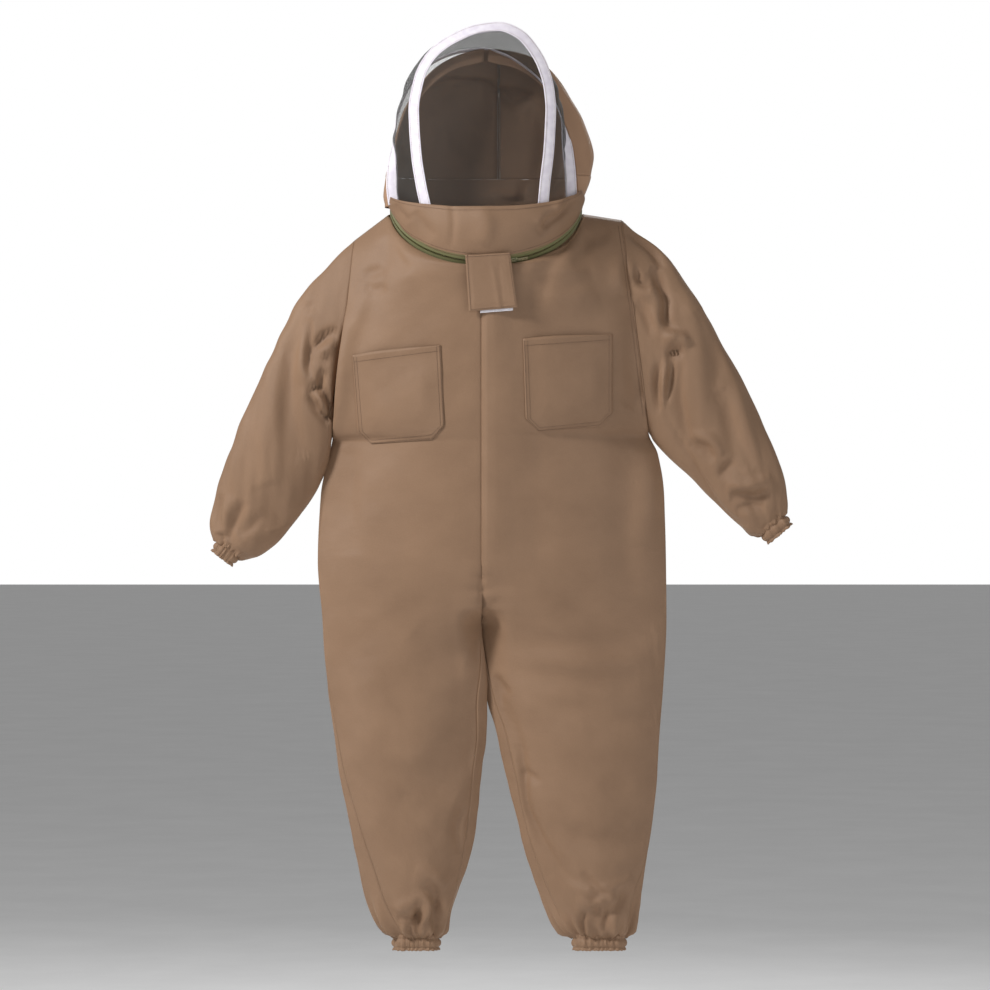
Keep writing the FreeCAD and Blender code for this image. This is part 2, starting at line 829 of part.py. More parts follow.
def make_hood():
    make_hoop("front", front_hoop_points(), FRONT_HOOP_LEAN)
    make_hoop("rear", rear_hoop_points(), REAR_HOOP_LEAN)
    face = veil_face_grid()
    save("veil_face", slab(face, shifted(face, Vector(0, -NET, 0))))
    crown = crown_grid()
    save("veil_crown", slab(crown, pushed(crown, NET)))
    levels = refined(BACK_SHAPE)
    upper = [(BAND_TOP + EDGE_GAP, *levels[2][1:])] + levels[3:]
    for name, side in (("left", 1), ("right", -1)):
        grid = back_grid(upper, side)
        save(f"hood_back_{name}", slab(grid, pushed(grid, side * CLOTH)))
    band = band_grid(levels[:3])
    save("hood_back_band", slab(band, pushed(band, CLOTH)))


def make_collar():
    """The band between the zip ring and the veil, round the front."""
    bottom_n = COIL_GAP + COIL_W + TAPE_W + EDGE_GAP
    grid = []
    for i in range(11):
        angle = math.radians(lerp(-76, 76, i / 10))
        out = Vector(math.sin(angle), -math.cos(angle) * RING_COS, -math.cos(angle) * RING_SIN)
        low = RING_CENTRE + out * RING_R + RING_AXIS * bottom_n
        x = 188 * math.sin(angle)
        rise = BASE_RISE * (1 - math.cos(angle)) ** 0.7
        y = -40 - 115 * math.cos(angle)
        high = Vector(x, y, rise - 1.5)
        grid.append([low, lerp(low, high, 0.5) + Vector(0, -3, 0), high])
    save("collar_band", slab(grid, pushed(grid, -CLOTH)))


def main():
    faces = make_panels()
    make_pocket("left", POCKET_LEFT, faces["left"])
    make_pocket("right", POCKET_RIGHT, faces["right"])
    make_sleeve("left", SLEEVE_LEFT, 1)
    make_sleeve("right", SLEEVE_RIGHT, -1)
    make_hems()
    make_collar_zip()
    make_front_zip()
    make_sliders()
    make_fly()
    make_flap()
    make_waist()
    make_hood()
    make_collar()


main()
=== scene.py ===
import math

import bpy
import numpy as np
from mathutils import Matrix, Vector
from mathutils.bvhtree import BVHTree


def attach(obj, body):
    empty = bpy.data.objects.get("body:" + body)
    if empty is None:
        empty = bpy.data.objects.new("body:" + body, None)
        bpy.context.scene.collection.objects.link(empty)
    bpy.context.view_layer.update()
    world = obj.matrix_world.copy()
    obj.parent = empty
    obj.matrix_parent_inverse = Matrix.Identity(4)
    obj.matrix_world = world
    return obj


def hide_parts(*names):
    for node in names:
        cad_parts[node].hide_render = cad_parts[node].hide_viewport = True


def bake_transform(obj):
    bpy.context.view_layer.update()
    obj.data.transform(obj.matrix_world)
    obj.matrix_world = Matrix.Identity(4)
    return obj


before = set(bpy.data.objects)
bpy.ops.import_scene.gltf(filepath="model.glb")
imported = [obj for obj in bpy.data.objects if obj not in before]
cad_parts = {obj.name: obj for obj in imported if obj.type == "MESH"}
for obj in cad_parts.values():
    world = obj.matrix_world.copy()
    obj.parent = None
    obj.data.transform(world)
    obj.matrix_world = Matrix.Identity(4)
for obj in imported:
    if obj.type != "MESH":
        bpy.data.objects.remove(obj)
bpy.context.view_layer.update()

# A hooded beekeeping coverall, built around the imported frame. Metres in the scene; the tables
# below are in millimetres, with x to the wearer's left and z up from the veil's lower edge.

MM = 0.001
CLOTH = 1.2 * MM
STEP = 6.0 * MM
RANDOM = np.random.default_rng(7)

TORSO, HOOD = "torso", "hood"
SIDES = {"left": 1, "right": -1}

# collar zip ring, as the joints that turn about it say
RING_CENTRE = np.array([0, 0, 16.0]) * MM
RING_TILT = math.radians(41)
RING_R = 190 * MM
RING_AXIS = np.array([0, -math.sin(RING_TILT), math.cos(RING_TILT)])


# ------------------------------------------------------------------ curves


def through(table, q):
    """Values of rows (key, value, ...) at keys q, on smooth spans that don't overshoot."""
    rows = np.array(sorted(table), float)
    k, v = rows[:, 0], rows[:, 1:]
    h = np.diff(k)[:, None]
    d = np.diff(v, axis=0) / h
    m = np.zeros_like(v)
    m[0], m[-1] = d[0], d[-1]
    same = d[1:] * d[:-1] > 0
    both = np.where(same, d[1:] + d[:-1], 1)
    m[1:-1] = np.where(same, 2 * d[1:] * d[:-1] / both, 0)
    q = np.clip(np.asarray(q, float), k[0], k[-1])
    i = np.clip(np.searchsorted(k, q) - 1, 0, len(k) - 2)
    t = ((q - k[i]) / h[i, 0])[..., None]
    a = 2 * t**3 - 3 * t**2 + 1
    b = t**3 - 2 * t**2 + t
    c = t**3 - t**2
    value = a * v[i] + b * h[i] * m[i] + (1 - a) * v[i + 1] + c * h[i] * m[i + 1]
    return value[..., 0] if value.shape[-1] == 1 else value


def step_up(x, low, high):
    """0 below low, 1 above high, smooth between."""
    t = np.clip((x - low) / (high - low), 0, 1)
    return t * t * (3 - 2 * t)


def line_through(points, count):
    """count points on a smooth open curve through points."""
    p = np.array(points, float)
    gaps = np.linalg.norm(np.diff(p, axis=0), axis=1)
    s = np.concatenate([[0], np.cumsum(gaps)])
    rows = [(a, *b) for a, b in zip(s, p)]
    fine = through(rows, np.linspace(0, s[-1], 8 * count))
    gaps = np.linalg.norm(np.diff(fine, axis=0), axis=1)
    s = np.concatenate([[0], np.cumsum(gaps)])
    want = np.linspace(0, s[-1], count)
    return np.stack([np.interp(want, s, fine[:, k]) for k in range(p.shape[1])], axis=1)


def length_of(points):
    """The length of a run of points."""
    return float(np.linalg.norm(np.diff(np.asarray(points), axis=0), axis=1).sum())


def unit(v):
    """Vectors scaled to length 1."""
    v = np.asarray(v, float)
    return v / np.maximum(np.linalg.norm(v, axis=-1, keepdims=True), 1e-12)


def ring_point(angle, radius, n):
    """A point of the collar ring: angle from the throat, radius, and height along its axis."""
    out = np.stack(
        [np.sin(angle), -np.cos(angle) * math.cos(RING_TILT), -np.cos(angle) * math.sin(RING_TILT)], -1
    )
    return RING_CENTRE + out * np.asarray(radius)[..., None] + RING_AXIS * np.asarray(n)[..., None]


# ------------------------------------------------------------------ meshes


def grid_normals(p, wrap=False):
    """Unit normals of a grid of points, from its two directions."""
    down = np.gradient(p, axis=0)
    if wrap:
        across = np.roll(p, -1, axis=1) - np.roll(p, 1, axis=1)
    else:
        across = np.gradient(p, axis=1)
    return unit(np.cross(across, down))


def facing(p, way, wrap=False):
    """Normals of a grid that face way on the whole, and whether they had to be turned over."""
    normal = grid_normals(p, wrap)
    flip = (normal * way).sum(-1).mean() < 0
    return normal * (-1 if flip else 1), flip


def from_middle(p):
    """Ways out from the middle of each row of a grid that closes round."""
    return p - p.mean(axis=1, keepdims=True)


def new_object(name, verts, faces, uvs=None, material=None):
    """A smooth-shaded object in the scene, with one UV for each vertex."""
    mesh = bpy.data.meshes.new(name)
    mesh.from_pydata([tuple(v) for v in verts], [], [tuple(f) for f in faces])
    if uvs is not None:
        layer = mesh.uv_layers.new(name="cloth")
        index = np.zeros(len(mesh.loops), np.int32)
        mesh.loops.foreach_get("vertex_index", index)
        layer.data.foreach_set("uv", np.asarray(uvs, np.float32)[index].ravel())
    mesh.polygons.foreach_set("use_smooth", [True] * len(mesh.polygons))
    mesh.validate()
    obj = bpy.data.objects.new(name, mesh)
    bpy.context.scene.collection.objects.link(obj)
    if material:
        mesh.materials.append(material)
    return obj


def grid_uv(p):
    """Distances along the two directions of a grid, in metres."""
    du = np.linalg.norm(np.diff(p, axis=1), axis=2).mean(0)
    dv = np.linalg.norm(np.diff(p, axis=0), axis=2).mean(1)
    u = np.concatenate([[0], np.cumsum(du)])
    v = np.concatenate([[0], np.cumsum(dv)])
    return np.stack(np.meshgrid(u, v), axis=-1)


def sheet_mesh(name, p, material, thickness=CLOTH, wrap=False, flip=False):
    """A closed sheet of cloth whose outer face is the grid p. flip turns its outside over."""
    n, m = p.shape[:2]
    normal = grid_normals(p, wrap) * (-1 if flip else 1)
    inner = p - normal * thickness
    uv = grid_uv(p)
    cols = m if wrap else m - 1
    i, j = np.meshgrid(np.arange(n - 1), np.arange(cols), indexing="ij")
    a = (i * m + j).ravel()
    b = (i * m + (j + 1) % m).ravel()
    c = ((i + 1) * m + (j + 1) % m).ravel()
    d = ((i + 1) * m + j).ravel()
    outer_faces = np.stack([a, b, c, d], axis=1)
    if not flip:
        outer_faces = outer_faces[:, ::-1]
    size = n * m
    faces = [outer_faces, outer_faces[:, ::-1] + size]
    top = np.arange(m)
    edges = [(top, 1), (top + (n - 1) * m, -1)]
    if not wrap:
        left = np.arange(n) * m
        edges += [(left, -1), (left + m - 1, 1)]
    for edge, turn in edges:
        start = edge if wrap else edge[:-1]
        end = np.roll(edge, -1) if wrap else edge[1:]
        quad = np.stack([start, end, end + size, start + size], axis=1)
        if (turn > 0) == flip:
            quad = quad[:, ::-1]
        faces.append(quad)
    verts = np.concatenate([p.reshape(-1, 3), inner.reshape(-1, 3)])
    uvs = np.concatenate([uv.reshape(-1, 2)] * 2)
    return new_object(name, verts, np.concatenate(faces), uvs, material)


def bar(p):
    """Vertices and faces of a solid bar from closed sections p."""
    n, m = p.shape[:2]
    faces = []
    for i in range(n - 1):
        for j in range(m):
            k = (j + 1) % m
            faces.append((i * m + j, i * m + k, (i + 1) * m + k, (i + 1) * m + j))
    faces += [tuple(range(m))[::-1], tuple((n - 1) * m + j for j in range(m))]
    return p.reshape(-1, 3), faces


def tube(path, radius, sides=4):
    """Vertices and faces of a tube along points."""
    path = np.asarray(path, float)
    along = unit(np.gradient(path, axis=0))
    guide = np.array([0, 0, 1.0]) if abs(along[0, 2]) < 0.9 else np.array([1.0, 0, 0])
    first = unit(np.cross(along, guide))
    second = np.cross(along, first)
    a = np.linspace(0, 2 * math.pi, sides, endpoint=False)
    ring = np.cos(a)[None, :, None] * first[:, None] + np.sin(a)[None, :, None] * second[:, None]
    return bar(path[:, None] + radius * ring)


def joined(name, parts, material):
    """One object from several (verts, faces)."""
    verts, faces, base = [], [], 0
    for v, f in parts:
        verts.append(np.asarray(v))
        faces += [tuple(int(i) + base for i in g) for g in f]
        base += len(v)
    return new_object(name, np.concatenate(verts), faces, None, material)


# ------------------------------------------------------- stitching


STITCH, STITCH_GAP, THREAD = 3.0 * MM, 1.1 * MM, 0.42 * MM


def surface_of(*objects):
    """A search tree over the faces of some pieces."""
    verts, faces, base = [], [], 0
    for o in objects:
        verts += [v.co.copy() for v in o.data.vertices]
        faces += [[i + base for i in p.vertices] for p in o.data.polygons]
        base = len(verts)
    return BVHTree.FromPolygons(verts, faces)


def on_front(tree, xz, behind=False):
    """Points and normals where lines along Y from the front, or the back, meet the pieces."""
    points, normals = [], []
    start, way = (2.0, -1) if behind else (-2.0, 1)
    for x, z in xz:
        hit, normal, _, _ = tree.ray_cast(Vector((x, start, z)), Vector((0, way, 0)))
        if hit is None:
            hit, normal, _, _ = tree.find_nearest(Vector((x, -0.1 * way, z)))
        if normal.y * way > 0:
            normal = -normal
        points.append(hit)
        normals.append(normal)
    return np.array(points, float), np.array(normals, float)


def stitches(points, normals, lift=0.1 * MM):
    """Short lengths of thread along points that lie on cloth with those normals."""
    points = np.asarray(points) + np.asarray(normals) * lift
    s = np.concatenate([[0], np.cumsum(np.linalg.norm(np.diff(points, axis=0), axis=1))])

    def at(q, values):
        return np.array([np.interp(q, s, values[:, k]) for k in range(3)])

    parts = []
    for start in np.arange(0, s[-1] - STITCH, STITCH + STITCH_GAP):
        a, b = at(start, points), at(start + STITCH, points)
        up = unit(at(start + STITCH / 2, np.asarray(normals)))
        side = unit(np.cross(b - a, up)) * THREAD
        rise = up * THREAD
        verts = [a + side, a - side, a + side * 0.7 + rise, a - side * 0.7 + rise]
        verts += [b + side, b - side, b + side * 0.7 + rise, b - side * 0.7 + rise]
        faces = [(0, 2, 3, 1), (4, 5, 7, 6), (0, 4, 6, 2), (1, 3, 7, 5), (2, 6, 7, 3), (0, 1, 5, 4)]
        parts.append((verts, faces))
    return parts


def front_stitches(tree, path, behind=False):
    """Stitches along a smooth (x, z) path in millimetres, laid on the pieces in tree."""
    path = np.asarray(path, float) * MM
    count = max(int(length_of(path) / (2.5 * MM)), 4)
    return stitches(*on_front(tree, line_through(path, count), behind))


# ----------------------------------------------------------- folds


FOLD_GAIN, FOLD_WIDEN, FOLD_POINTS = 1.5, 1.2, 48
WAVE_COUNT = 9


def fold(p, normal, strokes, weight=1.0):
    """Moves grid points along their normals by strokes.

    A stroke is (height, width on its left, width on its right, points), all in
    millimetres on the (x, z) plane; left is to the left of its direction.
    """
    shape = p.shape
    flat, amount = p.reshape(-1, 3), np.zeros(p[..., 0].size)
    for height, wide_left, wide_right, points in strokes:
        path = line_through(np.array(points, float) * MM, FOLD_POINTS)
        reach = 3 * max(wide_left, wide_right) * MM
        near = np.all(
            (flat[:, [0, 2]] > path.min(0) - reach) & (flat[:, [0, 2]] < path.max(0) + reach), axis=1
        )
        if not near.any():
            continue
        away = flat[near][:, None, [0, 2]] - path[None]
        distance = np.linalg.norm(away, axis=2)
        k = distance.argmin(1)
        rows = np.arange(len(k))
        along = np.gradient(path, axis=0)[k]
        away = away[rows, k]
        left = along[:, 0] * away[:, 1] - along[:, 1] * away[:, 0] > 0
        width = np.where(left, wide_left, wide_right) * FOLD_WIDEN * MM
        taper = np.sin(np.clip(k / (FOLD_POINTS - 1), 0.0, 1.0) * math.pi) ** 0.6
        amount[near] += FOLD_GAIN * height * MM * taper * np.exp(-((distance[rows, k] / width) ** 2))
    return p + normal * (amount.reshape(shape[:2]) * weight)[..., None]


def waves(u, v, seed, scale, height):
    """Smooth uneven waves over u and v in metres, about scale long."""
    rng = np.random.default_rng(seed)
    total = np.zeros(np.broadcast(u, v).shape)
    for _ in range(WAVE_COUNT):
        angle, phase = rng.uniform(0, 2 * math.pi, 2)
        long = scale * rng.uniform(0.7, 1.8)
        total = total + np.sin(
            2 * math.pi * (u * math.cos(angle) + v * math.sin(angle)) / long + phase
        )
    return total * height / 3


def gathers(angle, along, seed, count, height, reach):
    """Folds that run from a gathered edge into the cloth; along is 0 at the edge."""
    rng = np.random.default_rng(seed)
    total = np.zeros(np.broadcast(angle, along).shape)
    places = (np.arange(count) + rng.uniform(-0.28, 0.28, count)) / count * 2 * math.pi
    for place in places:
        lean = rng.uniform(-1.6, 1.6)
        long = reach * rng.uniform(0.4, 1.15)
        wide = 2 * math.pi / count * rng.uniform(0.26, 0.42)
        tall = height * rng.uniform(0.55, 1.2)
        d = (angle - place - lean * along + math.pi) % (2 * math.pi) - math.pi
        wide = wide * (1 + 1.1 * along / reach)
        fade = np.clip(1 - along / long, 0, 1) ** 1.2
        total = total + tall * fade * np.exp(-((d / wide) ** 2))
    return total - total.mean() * np.clip(1 - along / reach, 0, 1)


def gather_height(folds, along):
    """Gathers that start low at the casing's stitch line and end before they reach far."""
    return folds * (0.15 + 0.85 * step_up(along, 0.001, 0.018)) * (along < 0.15)


# ----------------------------------------------------------- materials


def colour(code, scale=1.0):
    """A linear colour from an sRGB code."""
    values = []
    for k in (0, 2, 4):
        c = int(code[k : k + 2], 16) / 255
        c = c / 12.92 if c <= 0.04045 else ((c + 0.055) / 1.055) ** 2.4
        values.append(min(c * scale, 1))
    return (*values, 1)


class Nodes:
    """Short names for building a material's nodes."""

    def __init__(self, name):
        self.material = bpy.data.materials.new(name)
        self.material.use_nodes = True
        self.tree = self.material.node_tree
        self.shader = self.tree.nodes["Principled BSDF"]

    def add(self, kind, settings=None, **inputs):
        node = self.tree.nodes.new("ShaderNode" + kind)
        for key, value in (settings or {}).items():
            setattr(node, key, value)
        for key, value in inputs.items():
            socket = node.inputs[int(key[1:]) if key[0] == "i" and key[1:].isdigit() else key]
            if isinstance(value, bpy.types.NodeSocket):
                self.tree.links.new(value, socket)
            else:
                socket.default_value = value
        return node

    def math(self, operation, a, b=0.0):
        return self.add("Math", {"operation": operation}, i0=a, i1=b).outputs[0]

    def ramp(self, value, stops):
        node = self.tree.nodes.new("ShaderNodeValToRGB")
        elements = node.color_ramp.elements
        while len(elements) < len(stops):
            elements.new(0.5)
        for element, (place, tone) in zip(elements, stops):
            element.position, element.color = place, tone
        self.tree.links.new(value, node.inputs[0])
        return node.outputs[0]

    def coords(self, kind):
        return self.add("TexCoord").outputs[kind]

    def noise(self, vector, scale, detail=3.0, roughness=0.5):
        node = self.add("TexNoise", Vector=vector, Scale=scale, Detail=detail, Roughness=roughness)
        return node.outputs["Fac"]

    def set(self, **values):
        for key, value in values.items():
            socket = self.shader.inputs[key.replace("_", " ")]
            if isinstance(value, bpy.types.NodeSocket):
                self.tree.links.new(value, socket)
            else:
                socket.default_value = value
        return self

    def bump(self, *layers):
        """Bump from (height socket, distance in metres) layers."""
        normal = None
        for height, distance in layers:
            node = self.add("Bump", Height=height, Distance=distance, Strength=1.0)
            if normal is not None:
                self.tree.links.new(normal, node.inputs["Normal"])
            normal = node.outputs[0]
        self.tree.links.new(normal, self.shader.inputs["Normal"])
        return self


def twill(name, light, dark, weave=900.0, roughness=0.55, sheen=0.16):
    """Brown twill: fine diagonal weave, cloudy tone and small creases, on cloth coordinates."""
    n = Nodes(name)
    uv = n.coords("UV")
    split = n.add("SeparateXYZ", Vector=uv)
    x, y = split.outputs[0], split.outputs[1]
    slant = n.math("ADD", x, n.math("MULTIPLY", y, 0.6))
    diagonal = n.math("SINE", n.math("MULTIPLY", slant, weave * 6.28))
    yarn = n.math("SINE", n.math("MULTIPLY", y, weave * 8.8))
    weave_height = n.math("ADD", n.math("MULTIPLY", diagonal, 0.35), n.math("MULTIPLY", yarn, 0.15))
    cloud = n.noise(uv, 9.0, 4.0, 0.55)
    slub = n.noise(uv, 420.0, 2.0, 0.6)
    tone = n.math("ADD", n.math("MULTIPLY", cloud, 0.7), n.math("MULTIPLY", slub, 0.3))
    tone = n.math("ADD", tone, n.math("MULTIPLY", weave_height, 0.06))
    base = n.ramp(tone, [(0.32, dark), (0.68, light)])
    crease = n.noise(uv, 38.0, 5.0, 0.62)
    rough = n.math("ADD", n.math("MULTIPLY", slub, 0.16), roughness - 0.08)
    n.set(Base_Color=base, Roughness=rough, Specular_IOR_Level=0.32)
    n.set(Sheen_Weight=sheen, Sheen_Roughness=0.45, Sheen_Tint=colour("C9AE95"))
    fibre = n.noise(uv, 160.0, 4.0, 0.7)
    n.bump((crease, 0.7 * MM), (fibre, 0.25 * MM), (weave_height, 0.12 * MM))
    return n.material


def tape_cloth(name, light, dark, rib, sheen=0.2, roughness=0.75):
    """Woven tape with ribs across it and a fuzzy surface."""
    n = Nodes(name)
    uv = n.coords("UV")
    split = n.add("SeparateXYZ", Vector=uv)
    across = n.math("SINE", n.math("MULTIPLY", split.outputs[1], rib * 6.28))
    along = n.math("SINE", n.math("MULTIPLY", split.outputs[0], rib * 6.28))
    height = n.math("MULTIPLY", n.math("ADD", across, along), 0.25)
    cloud = n.noise(uv, 60.0, 3.0)
    tone = n.math("ADD", n.math("MULTIPLY", height, 0.3), cloud)
    n.set(Base_Color=n.ramp(tone, [(0.25, dark), (0.7, light)]), Roughness=roughness)
    n.set(Sheen_Weight=sheen, Sheen_Roughness=0.5)
    n.bump((height, 0.22 * MM), (n.noise(uv, 900.0, 2.0), 0.12 * MM))
    return n.material


def solid_finish(name, light, dark, roughness, metallic=0.0, scale=300.0, bump=0.05 * MM):
    """A rigid finish with cloudy wear, on object coordinates."""
    n = Nodes(name)
    place = n.coords("Object")
    wear = n.noise(place, scale, 4.0, 0.65)
    n.set(Base_Color=n.ramp(wear, [(0.35, dark), (0.7, light)]), Metallic=metallic)
    n.set(Roughness=n.math("ADD", n.math("MULTIPLY", wear, 0.25), roughness - 0.1))
    n.bump((n.noise(place, scale * 3, 3.0), bump))
    return n.material


def net_cloth(name, pitch, thread, tone):
    """Black net: threads on a square grid with clear holes between them."""
    n = Nodes(name)
    split = n.add("SeparateXYZ", Vector=n.coords("UV"))
    masks = []
    for axis in (0, 1):
        cell = n.math("FRACT", n.math("MULTIPLY", split.outputs[axis], 1 / pitch))
        masks.append(n.math("LESS_THAN", cell, thread / pitch))
    mesh = n.math("MAXIMUM", masks[0], masks[1])
    fuzz = n.noise(n.coords("UV"), 1500.0, 2.0)
    n.set(Base_Color=n.ramp(fuzz, [(0.3, colour("141412")), (0.7, tone)]), Roughness=0.7)
    n.set(Alpha=mesh, Sheen_Weight=0.15)
    return n.material


def hook_fuzz(name):
    """The white pile of hook-and-loop tape."""
    n = Nodes(name)
    place = n.coords("Object")
    loops = n.noise(place, 900.0, 3.0, 0.7)
    n.set(Base_Color=n.ramp(loops, [(0.3, colour("B9B5BD")), (0.7, colour("F4F1F6"))]), Roughness=0.85)
    n.set(Sheen_Weight=0.4, Sheen_Roughness=0.6)
    n.bump((loops, 0.7 * MM))
    return n.material


BROWN = twill("brown_twill", colour("A58367", 0.76), colour("9A795E", 0.72))
# The inside twill is the outer brown twill made about half again as bright. This is painted light against the
# shade inside the hood. The fly facing and the waist casing use it too.
BROWN_INSIDE_PAINTED_LIGHT = twill("brown_twill_inside_painted_light", colour("B08C70", 1.0), colour("A07D62", 0.95), sheen=0.1)
THREAD_BROWN = solid_finish("brown_thread", colour("8A6C56"), colour("5F4838"), 0.7)
THREAD_LIGHT = solid_finish("light_thread", colour("D9D2CC"), colour("A89C92"), 0.7)
WHITE_TAPE = tape_cloth("white_tape", colour("F3EEF5"), colour("DDD5E2"), 700.0)
OLIVE_TAPE = tape_cloth("olive_tape", colour("7C7A4C"), colour("5A5B35"), 800.0)
OLIVE_COIL = solid_finish("olive_coil", colour("827F50"), colour("54552F"), 0.4)
OLIVE_METAL = solid_finish("olive_metal", colour("C4C2A0"), colour("77755A"), 0.32, 0.7, 500.0)
NET = net_cloth("black_net", 1.25 * MM, 0.3 * MM, colour("3A3833"))
NET_DENSE = net_cloth("black_net_ruffled", 1.25 * MM, 0.52 * MM, colour("33332F"))
FUZZ = hook_fuzz("hook_and_loop")
BONE = solid_finish("boning", colour("E4E0D6"), colour("C4BFB2"), 0.5)
ELASTIC = solid_finish("elastic", colour("E8E4DC"), colour("B9B4A8"), 0.8, scale=700.0, bump=0.3 * MM)


def sew(name, parts, body, material=THREAD_BROWN):
    """A piece of stitching that rides a body."""
    thread = joined(name, parts, material)
    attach(thread, body)


# ------------------------------------------------- torso and legs

# row key is the height at the inner edge; all tables are (key, value, ...)
OUTER = {
    "left": [
        (0, 266), (-60, 273), (-110, 280), (-200, 291), (-320, 306), (-440, 320), (-480, 338),
        (-560, 350), (-690, 354), (-804, 355), (-930, 349), (-1020, 342), (-1106, 336),
        (-1180, 330), (-1253, 320), (-1330, 304), (-1395, 288), (-1432, 275),
    ],
    "right": [
        (0, 258), (-60, 263), (-110, 268), (-200, 277), (-320, 289), (-450, 302), (-560, 325),
        (-690, 331), (-804, 322), (-860, 319), (-930, 312), (-1020, 301), (-1106, 290),
        (-1180, 275), (-1253, 260), (-1330, 240), (-1395, 212), (-1432, 182),
    ],
}
OUTER_DROP = {
    "left": [(0, -20), (-60, -15), (-110, -20), (-200, -15), (-320, -10), (-440, 0), (-1432, 0)],
    "right": [(0, -60), (-60, -40), (-110, -40), (-200, -30), (-320, -15), (-450, 0), (-1432, 0)],
}
INNER = {
    "left": [
        (0, -8), (-765, -8), (-790, -14), (-860, -9), (-930, -3), (-967, 3), (-1020, 19), (-1106, 38),
        (-1180, 56), (-1253, 75), (-1330, 103), (-1395, 136), (-1432, 170),
    ],
    "right": [
        (0, -1), (-700, -1), (-725, 7), (-777, 8), (-804, 9), (-860, 4), (-930, -2),
        (-1020, -3), (-1106, 8), (-1180, 16), (-1253, 27), (-1330, 50), (-1395, 78), (-1432, 92),
    ],
}
FRONT_DEPTH = [
    (0, 150, -40), (-60, 146, 3), (-110, 141, 18), (-200, 132, 22), (-320, 120, 25),
    (-440, 108, 30), (-560, 96, 30), (-690, 83, 30), (-750, 72, 32), (-804, 50, 38),
    (-860, 18, 50), (-930, 2, 58), (-1020, 0, 58), (-1106, 0, 55), (-1180, 0, 53),
    (-1253, 0, 50), (-1330, 0, 46), (-1395, 0, 34), (-1432, 0, 13),
]
BACK_DEPTH = [
    (0, 78, -14), (-60, 82, 4), (-110, 84, 12), (-200, 82, 16), (-320, 76, 18), (-450, 64, 18),
    (-560, 72, 22), (-690, 76, 26), (-750, 66, 30), (-804, 46, 36), (-860, 18, 46),
    (-930, 2, 52), (-1020, 0, 54), (-1106, 0, 53), (-1180, 0, 52), (-1253, 0, 50),
    (-1330, 0, 46), (-1395, 0, 34), (-1432, 0, 13),
]
# how far the side seam and the inseam lie in from the leg's edges
SEAM_IN = {
    "left": ([(-1500, 12), (-1400, 14), (-1340, 10), (-1280, 3), (-1200, 0), (0, 0)],
             [(-1500, 14), (-1300, 17), (-1200, 15), (-1104, 19), (-980, 15), (-900, 8), (-800, 0), (0, 0)]),
    "right": ([(-1500, 26), (-1400, 33), (-1320, 33), (-1220, 23), (-1100, 12), (-941, 2), (-900, 0), (0, 0)],
              [(-1500, 9), (-1350, 10), (-1260, 16), (-1100, 18), (-980, 21), (-880, 8), (-800, 0), (0, 0)]),
}
ARMHOLE = {"left": ((267, -20), (321, -440)), "right": ((-259, -60), (-303, -450))}
SLEEVE_DEPTH, CLOTH_HALF_GAP = 49, 1.2
CROTCH, KNEE, HEM_Z = -777, -1106, -1432
KNEE_BLEND = 60 * MM
EDGE_ROUND = 17


def leg_row(side, key, psi):
    """Points round one half of the body at row key; psi is 0 at the inner edge of the
    front, pi at the outer edge, and 2 pi back at the inner edge from behind."""
    sign = SIDES[side]
    u = (1 - np.cos(psi)) / 2
    x_in, x_out = through(INNER[side], key), through(OUTER[side], key)
    z_out = key + through(OUTER_DROP[side], key)
    front = np.sin(psi) >= 0
    ahead, behind = through(FRONT_DEPTH, key), through(BACK_DEPTH, key)
    d_in = np.where(front, ahead[..., 0], behind[..., 0])
    bulge = np.where(front, ahead[..., 1], behind[..., 1])
    top, low = ARMHOLE[side][0][1], ARMHOLE[side][1][1]
    share = np.clip((z_out - low) / (top - low), 0, 1)
    d_out = SLEEVE_DEPTH * 2 * np.sqrt(share * (1 - share))
    closing = step_up(-key, -CROTCH, -CROTCH + 45)
    d_in = d_in * (1 - closing * (1 - step_up(u, 0, 0.16)))
    depth = np.maximum(d_in * (1 - u) + d_out * u + bulge * 4 * u * (1 - u), 0)
    rounding = EDGE_ROUND * step_up(-key, 430, 520) - 6 * step_up(-key, 1380, -HEM_Z)
    depth = np.sqrt(depth**2 + (rounding * np.sin(psi)) ** 2)
    y = np.where(front, -depth - CLOTH_HALF_GAP, depth + CLOTH_HALF_GAP)
    apart = step_up(-key, 745, 790) * (1 - step_up(-key, 960, 1060))
    y = y + sign * 6 * apart * (1 - step_up(u, 0.02, 0.2))
    z = key * (1 - u) + z_out * u
    return np.stack([sign * (x_in * (1 - u) + x_out * u), y, z + 0 * u], axis=-1) * MM


def seam_angle(side, key, which):
    """The angle on the front at which the side seam (0) or the inseam (1) lies."""
    width = through(OUTER[side], key) - through(INNER[side], key)
    inset = np.clip(through(SEAM_IN[side][which], key) / width, 0, 1)
    angle = np.arccos(1 - 2 * inset)
    return math.pi - angle if which == 0 else angle


NECK_R, NECK_DROP = RING_R + 1.5 * MM, 9.5 * MM
NECK_ANGLE = math.radians(82)


def neck_point(x):
    """The body cloth's edge below the collar zip, at x metres from the centre line."""
    return ring_point(np.arcsin(np.clip(x / NECK_R, -1, 1)), NECK_R, -NECK_DROP)


